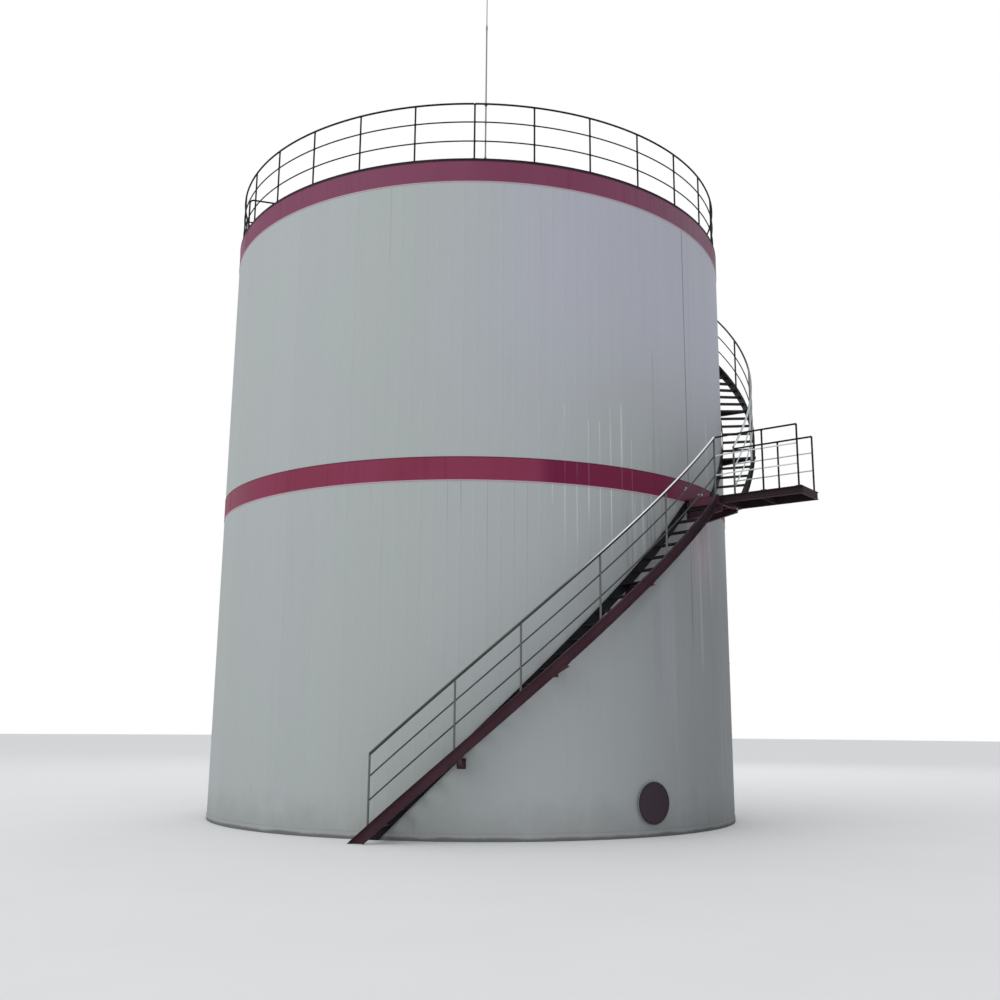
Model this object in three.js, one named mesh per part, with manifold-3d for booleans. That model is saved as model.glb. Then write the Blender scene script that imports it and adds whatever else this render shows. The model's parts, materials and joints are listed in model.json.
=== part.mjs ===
// Anaerobic wastewater reactor: an upright insulated steel tank with two maroon bands,
// a low cone roof with a guardrail, and an open-tread stair that winds round the wall to
// a landing, a short bridge and the roof.
//
// Millimetres, +Z up, origin on the ground at the centre of the tank.
// An azimuth is in degrees, 0 towards -Y and 90 towards +X, and the stair climbs with it.

import * as THREE from "three";
import { mergeVertices } from "three/addons/utils/BufferGeometryUtils.js";
import Module from "manifold-3d";

const wasm = await Module();
wasm.setup();

// Driving dimensions

const GAP = 0.3; // between two pieces that touch

const TANK = { radius: 5000, wall: 60, bandOut: 8, facets: 72, firstAz: 2.5, wallParts: 3 };
const LEVEL = { midBand: [5534, 5932], topBand: [10726, 11117] };
const ROOF = { edgeRadius: 5015, plate: 43, flatRim: 165, rise: 450 };
const TRIM = { thick: 12, z: [3, 105] };
const FLOOR_PLATE = 20;

const GUARD = {
  radius: 4960, posts: 30, firstAz: -1.2, sections: 6, stepAz: 6,
  heights: [1053, 707, 347], post: 19, top: 20, mid: 16, gateBay: 10,
};
const INNER_GUARD = { az: 286.8, outer: 4885, inner: 3900, height: 990, mid: 500, pipe: 17, bend: 90 };
const ROD = { az: 1, radius: 4912, pipe: 13, tip: 8, thin: 2600, length: 4200, base: 90, basePlate: 10 };

const MANHOLE = { az: 35, z: 517, bore: 290, neck: 305, flange: 330, sides: 32, plate: 14, cover: 16 };

// The stair: both flights lie between a flat bar close to the wall and a channel on the outer side.
const STAIR = {
  inner: 5018, bar: 10, outer: 5655, flange: 58, web: 8, flangePlate: 10, depth: 215,
  climb: 84.9, nosingBelow: 12, steps: 24,
};
const TREAD = { depth: 180, plate: 6, lip: 25, intoWeb: 4 };
const LANDING_Z = 5600;
const ROOF_Z = LEVEL.topBand[1] + GAP + ROOF.plate;
const LOWER_LINE = 1602; // height of the lower flight's top edge at azimuth 0
const UPPER_LINE = 880; // the same for the upper flight, carried back to azimuth 0

const RAIL = { radius: 5608, post: 18, top: 19, mid: 15, steps: 16 };
const LOWER_RAIL = { heights: [1020, 695, 350], posts: [-15.8, -2.85, 7.15, 20.2, 33.4, 47] };
const UPPER_RAIL = { heights: [1080, 705, 350], posts: [54.8, 68, 81.2, 94.4, 107.6, 120.8] };

const LANDING = { toAz: 55.3, beam: 140, deck: 6, flightFoot: 100 };
const TOP_PLATFORM = { toAz: 129.6, beam: 120, deck: 6, inner: 5018 };
const BRACKET = { width: 70, wallDepth: 190, endDepth: 60, intoStair: 60 };
const LOWER_BRACKETS = [-2, 14.4, 30];
const UPPER_BRACKETS = [72.3, 88.8, 105.3];
const LANDING_BRACKETS = [{ az: 48.2, endDepth: 120 }, { az: 54.4, endDepth: 50 }];
const TOP_BRACKETS = [123.6, 128.2];

const BRIDGE = { az: 51.4, half: 360, start: 5620, end: 7100, beam: 125, flange: 50, web: 8, flangePlate: 9 };
const BRIDGE_RAIL = {
  half: 332, near: [1050, 725, 380], far: [975, 690, 380], pipe: 17, mid: 14,
  fromPost: 20, straightFrom: 5850, bend: 60, posts: [6425, 7040],
};

const PIPE_SIDES = 6;

// Colours

const paint = (color, roughness, metalness) => new THREE.MeshStandardMaterial({ color, roughness, metalness });
const GREY_CLADDING = paint(0x9a9c9e, 0.6, 0.2);
const CRIMSON = paint(0x74203f, 0.6, 0.1);
const PLUM = paint(0x7d4155, 0.6, 0.1);
const DARK_MAROON = paint(0x3f2a31, 0.7, 0.2);
const DARK_STEEL = paint(0x2b2c2e, 0.6, 0.5);
const GALVANISED = paint(0x8d9294, 0.5, 0.6);

// Geometry helpers

const rad = THREE.MathUtils.degToRad;
const UP = new THREE.Vector3(0, 0, 1);
const outward = (az) => new THREE.Vector3(Math.sin(rad(az)), -Math.cos(rad(az)), 0);
const along = (az) => new THREE.Vector3(Math.cos(rad(az)), Math.sin(rad(az)), 0);
const at = (az, radius, z) => outward(az).multiplyScalar(radius).setZ(z);
const arcAz = (length, radius) => THREE.MathUtils.radToDeg(length / radius);

// Turns a closed three.js geometry into a solid that can be joined and cut.
function toSolid(geometry) {
  geometry.deleteAttribute("normal");
  geometry.deleteAttribute("uv");
  const merged = mergeVertices(geometry, 1e-4);
  return new wasm.Manifold(new wasm.Mesh({
    numProp: 3,
    vertProperties: Float32Array.from(merged.attributes.position.array),
    triVerts: Uint32Array.from(merged.index.array),
  }));
}

function toGeometry(solid) {
  const mesh = solid.getMesh();
  const geometry = new THREE.BufferGeometry();
  geometry.setAttribute("position", new THREE.BufferAttribute(Float32Array.from(mesh.vertProperties), 3));
  geometry.setIndex(new THREE.BufferAttribute(Uint32Array.from(mesh.triVerts), 1));
  geometry.computeVertexNormals();
  return geometry;
}

const joined = (solids) => solids.reduce((whole, solid) => whole.add(solid));

// Of the bodies that a cut leaves, the piece itself is the largest.
const mainBody = (solid) => solid.decompose().reduce((best, body) => (body.volume() > best.volume() ? body : best));

const outline = (points) => new THREE.Shape(points.map(([x, y]) => new THREE.Vector2(x, y)));
const oblong = (x0, x1, y0, y1) => outline([[x0, y0], [x1, y0], [x1, y1], [x0, y1]]);

// A channel section, web on the side "web" (-1 at its left, +1 at its right), top at y = 0.
function channelSection(x0, x1, depth, web, flange, webAt) {
  const inner = webAt < 0 ? x0 + web : x1 - web;
  const open = webAt < 0 ? x1 : x0;
  const back = webAt < 0 ? x0 : x1;
  const points = [
    [back, -depth], [open, -depth], [open, -depth + flange], [inner, -depth + flange],
    [inner, -flange], [open, -flange], [open, 0], [back, 0],
  ];
  return outline(webAt < 0 ? points : points.reverse());
}

// A round pipe's section. On a climbing pipe it is stretched upright, so that the pipe stays round.
function pipeSection(radius, centre, z, climbAngle = 0) {
  const points = Array.from({ length: PIPE_SIDES }, (_, side) => {
    const turn = (2 * Math.PI * side) / PIPE_SIDES;
    return [centre + radius * Math.cos(turn), z + (radius * Math.sin(turn)) / Math.cos(climbAngle)];
  });
  return outline(points);
}

// Sweeps a section, drawn as radius and height, round the tank. heightAt adds the climb.
function sweep(section, fromAz, toAz, steps, heightAt = () => 0) {
  const geometry = new THREE.ExtrudeGeometry(section, { depth: 1, steps, bevelEnabled: false });
  const points = geometry.attributes.position;
  for (let i = 0; i < points.count; i += 1) {
    const az = toAz + (fromAz - toAz) * points.getZ(i);
    const place = at(az, points.getX(i), points.getY(i) + heightAt(az));
    points.setXYZ(i, place.x, place.y, place.z);
  }
  return toSolid(geometry);
}

// Turns a profile of [radius, height] points, run upwards on its outer side, round the tank's axis.
function turned(profile) {
  const points = profile.map(([radius, z]) => new THREE.Vector2(radius, z));
  const geometry = new THREE.LatheGeometry(points, TANK.facets, rad(TANK.firstAz));
  geometry.rotateX(Math.PI / 2);
  return toSolid(geometry);
}

const ring = (inner, outer, z0, z1) => turned([[inner, z0], [outer, z0], [outer, z1], [inner, z1], [inner, z0]]);
const disc = (radius, z0, z1) => turned([[0, z0], [radius, z0], [radius, z1], [0, z1]]);

// A section drawn as radius and height, made "width" thick across the radial plane at an azimuth.
function acrossPlane(section, az, width) {
  const geometry = new THREE.ExtrudeGeometry(section, { depth: width, bevelEnabled: false });
  const place = new THREE.Matrix4().makeBasis(outward(az), UP, along(az).negate());
  place.setPosition(along(az).multiplyScalar(width / 2));
  return toSolid(geometry.applyMatrix4(place));
}

function pipe(from, to, radius) {
  const length = from.distanceTo(to);
  const geometry = new THREE.CylinderGeometry(radius, radius, length, PIPE_SIDES);
  const direction = to.clone().sub(from).normalize();
  geometry.applyQuaternion(new THREE.Quaternion().setFromUnitVectors(new THREE.Vector3(0, 1, 0), direction));
  geometry.translate(...from.clone().add(to).multiplyScalar(0.5).toArray());
  return toSolid(geometry);
}

const upright = (az, radius, z0, z1, size) => pipe(at(az, radius, z0), at(az, radius, z1), size);

// A pipe through a list of points, with a round bend at each inner one.
function bentPipe(points, radius, bend) {
  const pieces = [];
  let start = points[0];
  for (let i = 1; i < points.length; i += 1) {
    const corner = points[i];
    const next = points[i + 1];
    if (!next) {
      pieces.push(pipe(start, corner, radius));
      break;
    }
    const before = start.clone().sub(corner).normalize();
    const after = next.clone().sub(corner).normalize();
    const bendFrom = corner.clone().addScaledVector(before, bend);
    const bendTo = corner.clone().addScaledVector(after, bend);
    pieces.push(pipe(start, bendFrom.clone().addScaledVector(before, -1), radius));
    const curve = new THREE.QuadraticBezierCurve3(bendFrom, corner, bendTo);
    const geometry = new THREE.ExtrudeGeometry(pipeSection(radius, 0, 0), {
      steps: 4, extrudePath: curve, bevelEnabled: false,
    });
    pieces.push(toSolid(geometry));
    start = bendTo.clone().addScaledVector(after, -1);
  }
  return joined(pieces);
}

function box(x0, x1, y0, y1, z0, z1) {
  const geometry = new THREE.BoxGeometry(x1 - x0, y1 - y0, z1 - z0);
  geometry.translate((x0 + x1) / 2, (y0 + y1) / 2, (z0 + z1) / 2);
  return toSolid(geometry);
}

// The object

const reactor = new THREE.Group();

function addPart(name, solid, material, parent = reactor) {
  const mesh = new THREE.Mesh(toGeometry(solid), material);
  mesh.name = name;
  parent.add(mesh);
  return mesh;
}

// Tank

const WALL_IN = TANK.radius - TANK.wall;
const BAND_OUT = TANK.radius + TANK.bandOut;

// Everything that the tank's own solids fill, grown by the touching gap: it cuts what is fixed to it.
const tankEnvelope = joined([
  disc(TANK.radius + GAP, -100, LEVEL.topBand[1]),
  disc(BAND_OUT + GAP, LEVEL.midBand[0] - GAP, LEVEL.midBand[1] + GAP),
  disc(BAND_OUT + GAP, LEVEL.topBand[0] - GAP, LEVEL.topBand[1]),
]);

function manholeDisc(radius, from, to) {
  const geometry = new THREE.CylinderGeometry(radius, radius, to - from, MANHOLE.sides);
  geometry.rotateZ(-Math.PI / 2);
  geometry.translate((from + to) / 2, 0, MANHOLE.z);
  geometry.rotateZ(rad(MANHOLE.az - 90));
  return toSolid(geometry);
}

function addWalls() {
  const span = 360 / TANK.wallParts;
  const slit = arcAz(GAP, TANK.radius) / 2;
  const tiers = [
    ["lower_wall", 0, LEVEL.midBand[0] - GAP],
    ["upper_wall", LEVEL.midBand[1] + GAP, LEVEL.topBand[0] - GAP],
  ];
  const manholeHole = manholeDisc(MANHOLE.neck + GAP, WALL_IN - 100, TANK.radius + 100);
  for (const [name, z0, z1] of tiers) {
    for (let part = 0; part < TANK.wallParts; part += 1) {
      const from = TANK.firstAz + part * span;
      const section = oblong(WALL_IN, TANK.radius, z0, z1);
      const wall = sweep(section, from + slit, from + span - slit, TANK.facets / TANK.wallParts);
      addPart(`${name}_${part + 1}`, wall.subtract(manholeHole), GREY_CLADDING);
    }
  }
}

function addBandsAndEnds() {
  addPart("middle_band", ring(WALL_IN, BAND_OUT, ...LEVEL.midBand), CRIMSON);
  addPart("top_band", ring(WALL_IN, BAND_OUT, ...LEVEL.topBand), PLUM);
  addPart("floor_plate", disc(WALL_IN - GAP, 0, FLOOR_PLATE), DARK_STEEL);
  addPart("base_trim", ring(TANK.radius + GAP, TANK.radius + TRIM.thick, ...TRIM.z), GREY_CLADDING);
}

const flatInner = ROOF.edgeRadius - ROOF.flatRim;
const roofUnder = LEVEL.topBand[1] + GAP;
const roofSolid = turned([
  [0, roofUnder + ROOF.rise],
  [flatInner, roofUnder],
  [ROOF.edgeRadius, roofUnder],
  [ROOF.edgeRadius, ROOF_Z],
  [flatInner, ROOF_Z],
  [0, ROOF_Z + ROOF.rise],
]);

function addManhole() {
  const face = TANK.radius + TRIM.thick;
  const tube = manholeDisc(MANHOLE.neck, WALL_IN - 40, face + 1).add(manholeDisc(MANHOLE.flange, face, face + MANHOLE.plate));
  const bore = manholeDisc(MANHOLE.bore, WALL_IN - 100, face + 100);
  addPart("manhole_neck", tube.subtract(bore), GREY_CLADDING);
  const coverFrom = face + MANHOLE.plate + GAP;
  addPart("manhole_cover", manholeDisc(MANHOLE.flange, coverFrom, coverFrom + MANHOLE.cover), DARK_MAROON);
}

// Roof guardrail

const postAz = (index) => GUARD.firstAz + (index * 360) / GUARD.posts;

// One section of rail: its posts, and rails that run on to the next section's first post.
function guardSection(firstPost, lastPost, railsTo) {
  const base = ROOF_Z + GAP;
  const pieces = [];
  for (let post = firstPost; post <= lastPost; post += 1) {
    pieces.push(upright(postAz(post), GUARD.radius, base, ROOF_Z + GUARD.heights[0], GUARD.post));
  }
  GUARD.heights.forEach((height, row) => {
    const section = pipeSection(row === 0 ? GUARD.top : GUARD.mid, GUARD.radius, ROOF_Z + height);
    const steps = Math.round((railsTo - postAz(firstPost)) / GUARD.stepAz);
    pieces.push(sweep(section, postAz(firstPost), railsTo, steps));
  });
  return joined(pieces);
}

function addGuardrail() {
  const bays = GUARD.posts / GUARD.sections;
  const clear = arcAz(GUARD.post + GAP, GUARD.radius);
  for (let part = 0; part < GUARD.sections; part += 1) {
    let first = part * bays;
    let last = first + bays - 1;
    let railsTo = postAz(last + 1) - clear;
    if (first === GUARD.gateBay) {
      first += 1;
    }
    if (last + 1 === GUARD.gateBay) {
      last += 1;
      railsTo = postAz(last);
    }
    addPart(`guardrail_${part + 1}`, guardSection(first, last, railsTo), DARK_STEEL);
  }
}

function addInnerGuard() {
  const { az, outer, inner, height, mid, pipe: size, bend } = INNER_GUARD;
  const low = ROOF_Z - 60;
  const top = ROOF_Z + height;
  const hoop = bentPipe([at(az, outer, low), at(az, outer, top), at(az, inner, top), at(az, inner, low)], size, bend);
  const bar = pipe(at(az, outer, ROOF_Z + mid), at(az, inner, ROOF_Z + mid), size - 3);
  const guard = hoop.add(bar).subtract(roofSolid.translate([0, 0, GAP]));
  addPart("roof_inner_guard", mainBody(guard), DARK_STEEL);
}

function addLightningRod() {
  const { az, radius, pipe: size, tip, thin, length, base, basePlate } = ROD;
  const plateTop = ROOF_Z + GAP + basePlate;
  const plate = acrossPlane(oblong(radius - base / 2, radius + base / 2, ROOF_Z + GAP, plateTop), az, base);
  addPart("rod_base", plate, DARK_STEEL);
  const foot = plateTop + GAP;
  const profile = [[0, 0], [size, 0], [size, thin], [tip, thin + 20], [tip, length - 120], [0, length]];
  const points = profile.map(([x, y]) => new THREE.Vector2(x, y));
  const mast = new THREE.LatheGeometry(points, 12);
  mast.rotateX(Math.PI / 2);
  const foothold = at(az, radius, foot);
  mast.translate(foothold.x, foothold.y, foothold.z);
  const clipEnd = (GUARD.radius - GUARD.top) * Math.cos(rad(GUARD.stepAz / 2)) - GAP;
  const clipZ = ROOF_Z + GUARD.heights[0];
  const clip = acrossPlane(oblong(radius, clipEnd, clipZ - 20, clipZ + 20), az, 24);
  addPart("lightning_rod", toSolid(mast).add(clip), DARK_STEEL);
}

// Stair

const lowerLine = (az) => LOWER_LINE + STAIR.climb * az;
const upperLine = (az) => UPPER_LINE + STAIR.climb * az;
const azAtNosing = (z, line) => (z + STAIR.nosingBelow - line) / STAIR.climb;
const climbAngle = Math.atan(STAIR.climb / (rad(1) * RAIL.radius));
const LANDING_FROM = azAtNosing(LANDING_Z, LOWER_LINE);
const TOP_FROM = azAtNosing(ROOF_Z, UPPER_LINE);
const slitAz = arcAz(GAP, STAIR.inner);
const LOWER_SPAN = [-20, LANDING_FROM - slitAz];
const UPPER_SPAN = [LANDING.toAz + slitAz, TOP_FROM - slitAz];
const innerWeb = STAIR.inner + STAIR.bar;
const outerWeb = STAIR.outer - STAIR.flange;

// One folded tread, open below, with its front edge on the nosing azimuth.
function tread(az, z) {
  const half = TREAD.depth / 2;
  const section = outline([
    [-half, -TREAD.lip], [-half + TREAD.plate, -TREAD.lip], [-half + TREAD.plate, -TREAD.plate],
    [half - TREAD.plate, -TREAD.plate], [half - TREAD.plate, -TREAD.lip], [half, -TREAD.lip], [half, 0], [-half, 0],
  ]);
  const from = innerWeb - TREAD.intoWeb;
  const length = outerWeb + TREAD.intoWeb - from;
  const geometry = new THREE.ExtrudeGeometry(section, { depth: length, bevelEnabled: false });
  const middle = az + arcAz(half, (innerWeb + outerWeb) / 2);
  const place = new THREE.Matrix4().makeBasis(along(middle), UP, outward(middle));
  place.setPosition(at(middle, from, z));
  return toSolid(geometry.applyMatrix4(place));
}

// The flat bar and the channel, flanges outwards, with the treads welded between them.
function flight(line, lineAt, fromZ, toZ, [fromAz, toAz]) {
  const inner = oblong(STAIR.inner, innerWeb, -STAIR.depth, 0);
  const outer = channelSection(outerWeb, STAIR.outer, STAIR.depth, STAIR.web, STAIR.flangePlate, -1);
  const pieces = [sweep(inner, fromAz, toAz, STAIR.steps, line), sweep(outer, fromAz, toAz, STAIR.steps, line)];
  const rise = (toZ - fromZ) / STAIR.steps;
  for (let step = 1; step < STAIR.steps; step += 1) {
    const z = fromZ + step * rise;
    pieces.push(tread(azAtNosing(z, lineAt), z));
  }
  return joined(pieces);
}

// The whole band that a flight fills, grown up or down: it shapes what stands on it or carries it.
function stairBand(line, [fromAz, toAz], lower, higher) {
  const margin = 60;
  const radii = [STAIR.inner - margin, STAIR.inner, innerWeb, outerWeb, STAIR.outer, STAIR.outer + margin];
  const strips = radii.slice(1).map((radius, i) => {
    const section = oblong(radii[i], radius, -STAIR.depth - lower, higher);
    return sweep(section, fromAz, toAz, STAIR.steps, line);
  });
  return joined(strips);
}

function handrail(rail, line) {
  const fromAz = rail.posts[0];
  const toAz = rail.posts.at(-1);
  const pieces = rail.heights.map((height, row) => {
    const section = pipeSection(row === 0 ? RAIL.top : RAIL.mid, RAIL.radius, height, climbAngle);
    return sweep(section, fromAz, toAz, RAIL.steps, line);
  });
  for (const az of rail.posts) {
    pieces.push(upright(az, RAIL.radius, line(az) - 40, line(az) + rail.heights[0], RAIL.post));
  }
  return joined(pieces);
}

const below = (z) => box(-9000, 9000, -9000, 9000, z - 2000, z);

function addLowerFlight() {
  const steps = flight(lowerLine, LOWER_LINE, 0, LANDING_Z, LOWER_SPAN).subtract(below(0));
  addPart("lower_flight", steps, DARK_MAROON);
  const rail = handrail(LOWER_RAIL, lowerLine).subtract(stairBand(lowerLine, LOWER_SPAN, 0, GAP));
  addPart("lower_handrail", mainBody(rail), GALVANISED);
}

// The upper flight butts against the landing's end, where its foot is cut off level.
function addUpperFlight() {
  const foot = LANDING_Z - LANDING.flightFoot;
  const steps = flight(upperLine, UPPER_LINE, LANDING_Z, ROOF_Z, UPPER_SPAN).subtract(below(foot));
  addPart("upper_flight", steps, DARK_MAROON);
  addPart("upper_handrail", upperHandrail(), DARK_STEEL);
}

// The upper handrail starts on the landing, and runs on level round the top platform to the roof.
function upperHandrail() {
  const lastAz = UPPER_RAIL.posts.at(-1);
  const turnAz = TOP_PLATFORM.toAz - 0.4;
  const platformTop = ROOF_Z + GAP;
  const returnTo = ROOF.edgeRadius + 30;
  const pieces = [handrail(UPPER_RAIL, upperLine)];
  UPPER_RAIL.heights.forEach((height, row) => {
    const size = row === 0 ? RAIL.top : RAIL.mid;
    const z = upperLine(lastAz) + height;
    pieces.push(sweep(pipeSection(size, RAIL.radius, z), lastAz - 0.05, turnAz, 2));
    pieces.push(pipe(at(turnAz, RAIL.radius, z), at(turnAz, returnTo, z), size));
  });
  const topZ = upperLine(lastAz) + UPPER_RAIL.heights[0];
  for (const radius of [RAIL.radius, returnTo + RAIL.post]) {
    pieces.push(upright(turnAz, radius, platformTop, topZ, RAIL.post));
  }
  const bearing = stairBand(upperLine, UPPER_SPAN, 0, GAP).add(below(LANDING_Z + GAP));
  return mainBody(joined(pieces).subtract(bearing));
}

// Brackets: short cantilevers on the wall, deep at the wall and shallow at their ends.

function bracket(az, topZ, endDepth = BRACKET.endDepth) {
  const { wallDepth, width } = BRACKET;
  const section = outline([
    [TANK.radius - 40, topZ - wallDepth], [STAIR.outer, topZ - endDepth], [STAIR.outer, topZ], [TANK.radius - 40, topZ],
  ]);
  return acrossPlane(section, az, width).subtract(tankEnvelope);
}

function addStairBrackets() {
  const flights = [
    ["lower_bracket", LOWER_BRACKETS, lowerLine, LOWER_SPAN],
    ["upper_bracket", UPPER_BRACKETS, upperLine, UPPER_SPAN],
  ];
  for (const [name, places, line, span] of flights) {
    const band = stairBand(line, span, GAP, 0);
    places.forEach((az, index) => {
      const raised = bracket(az, line(az) - STAIR.depth + BRACKET.intoStair);
      addPart(`${name}_${index + 1}`, mainBody(raised.subtract(band)), DARK_MAROON);
    });
  }
}

// Landing, top platform and bridge

// A frame of two curved channels and radial ones, with its top at z.
function curvedFrame(inner, fromAz, toAz, depth, z) {
  const flange = STAIR.flange;
  const { web, flangePlate } = STAIR;
  const slice = (section) => sweep(section, fromAz, toAz, 4, () => z);
  const pieces = [
    slice(channelSection(inner, inner + flange, depth, web, flangePlate, 1)),
    slice(channelSection(STAIR.outer - flange, STAIR.outer, depth, web, flangePlate, -1)),
  ];
  const barAz = arcAz(30, RAIL.radius);
  const bars = 4;
  for (let bar = 0; bar < bars; bar += 1) {
    const az = fromAz + barAz + ((toAz - fromAz - 2 * barAz) * bar) / (bars - 1);
    const section = oblong(inner + flange - web - 1, STAIR.outer - flange + web + 1, z - depth, z);
    pieces.push(acrossPlane(section, az, bar === 0 || bar === bars - 1 ? 40 : 10));
  }
  return joined(pieces);
}

function addLanding() {
  const { toAz, beam, deck } = LANDING;
  const frameTop = LANDING_Z - deck - GAP;
  addPart("landing_frame", curvedFrame(STAIR.inner, LANDING_FROM, toAz, beam, frameTop), DARK_MAROON);
  const plate = oblong(STAIR.inner, STAIR.outer, LANDING_Z - deck, LANDING_Z);
  addPart("landing_deck", sweep(plate, LANDING_FROM, toAz, 4), DARK_MAROON);
  LANDING_BRACKETS.forEach(({ az, endDepth }, index) => {
    addPart(`landing_bracket_${index + 1}`, bracket(az, frameTop - beam - GAP, endDepth), DARK_MAROON);
  });
}

function addTopPlatform() {
  const { toAz, beam, deck, inner } = TOP_PLATFORM;
  const frame = curvedFrame(inner, TOP_FROM, toAz, beam, ROOF_Z - deck + 1);
  const plate = sweep(oblong(inner, STAIR.outer, ROOF_Z - deck, ROOF_Z), TOP_FROM, toAz, 4);
  const arms = TOP_BRACKETS.map((az) => bracket(az, ROOF_Z - beam - deck + 2));
  addPart("top_platform", joined([frame, plate, ...arms]), DARK_MAROON);
}

// The bridge leads straight out from the landing: its X runs outwards, its Y round the tank.
const inBridge = (az, radius, z) => at(az - BRIDGE.az + 90, radius, z);

function addBridge() {
  const bridge = new THREE.Group();
  bridge.rotation.z = rad(BRIDGE.az - 90);
  reactor.add(bridge);
  const { half, start, end, beam, flange, web, flangePlate } = BRIDGE;
  const top = LANDING_Z - LANDING.deck - GAP;
  const beamSolid = (side) => {
    const section = channelSection(half - flange, half, beam, web, flangePlate, -1);
    const geometry = new THREE.ExtrudeGeometry(section, { depth: end - start, bevelEnabled: false });
    const place = new THREE.Matrix4().makeBasis(new THREE.Vector3(0, 1, 0), UP, new THREE.Vector3(1, 0, 0));
    place.setPosition(start, 0, top);
    const solid = toSolid(geometry.applyMatrix4(place));
    return side > 0 ? solid : solid.mirror([0, 1, 0]);
  };
  const webLine = half - flange + web - 1;
  const crossBar = (x0, x1) => box(x0, x1, -webLine, webLine, top - beam, top);
  const middle = (start + end) / 2;
  const frame = joined([
    beamSolid(1), beamSolid(-1),
    crossBar(start + 90, start + 100), crossBar(middle, middle + 10), crossBar(end - 40, end),
  ]);
  // The landing's curved edge, grown by the touching gap and seen from the bridge: it shapes the joint.
  const edge = oblong(STAIR.inner, STAIR.outer + GAP, LANDING_Z - 2 * beam, LANDING_Z + beam);
  const landingEdge = sweep(edge, LANDING_FROM, LANDING.toAz, 4).rotate([0, 0, 90 - BRIDGE.az]);
  addPart("bridge_frame", frame.subtract(landingEdge), DARK_MAROON, bridge);
  const deck = box(start, end, -half, half, LANDING_Z - LANDING.deck, LANDING_Z);
  addPart("bridge_deck", deck.subtract(landingEdge), DARK_MAROON, bridge);
  const { near, far, half: railY } = BRIDGE_RAIL;
  const nearAz = LOWER_RAIL.posts.at(-1);
  const nearFrom = LOWER_RAIL.heights.map((height) => inBridge(nearAz, RAIL.radius, lowerLine(nearAz) + height));
  const farFrom = far.map((height) => inBridge(UPPER_RAIL.posts[0], RAIL.radius, LANDING_Z + height));
  addPart("bridge_near_rail", bridgeRail(-railY, nearFrom, near), DARK_STEEL, bridge);
  addPart("bridge_far_rail", bridgeRail(railY, farFrom, far), DARK_STEEL, bridge);
}

// Each pipe leaves the end post of a stair handrail and bends a little to run along the bridge.
function bridgeRail(y, starts, heights) {
  const { pipe: size, mid, bend, fromPost, straightFrom, posts } = BRIDGE_RAIL;
  const endX = posts.at(-1);
  const pieces = starts.map((start, row) => {
    const turn = new THREE.Vector3(straightFrom, y, LANDING_Z + heights[row]);
    const from = start.clone().addScaledVector(turn.clone().sub(start).normalize(), fromPost);
    return bentPipe([from, turn, turn.clone().setX(endX)], row === 0 ? size : mid, bend);
  });
  for (const x of posts) {
    const foot = new THREE.Vector3(x, y, LANDING_Z + GAP);
    pieces.push(pipe(foot, foot.clone().setZ(LANDING_Z + heights[0]), size));
  }
  return joined(pieces);
}

addWalls();
addBandsAndEnds();
addPart("roof", roofSolid, DARK_STEEL);
addManhole();
addGuardrail();
addInnerGuard();
addLightningRod();
addLowerFlight();
addUpperFlight();
addStairBrackets();
addLanding();
addTopPlatform();
addBridge();

export default reactor;
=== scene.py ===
# %% [markdown]
# # Dressing an anaerobic wastewater reactor
#
# The object is a steel tank, ten metres wide and eleven high, wrapped in painted sheet. A stair winds
# up its wall to a landing with a short bridge, and on to the roof, which has a pipe guardrail.
#
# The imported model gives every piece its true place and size. This lesson keeps those places and gives
# each piece the shape that a fabricator would see close up, with a finish of its own. A modeller could
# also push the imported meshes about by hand. Building each piece from a few sizes is better here,
# because a tank is all repetition: the same rib, post, tread and bolt, many times round a circle.

import json
from math import atan, cos, degrees, hypot, pi, radians, sin, sqrt

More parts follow.
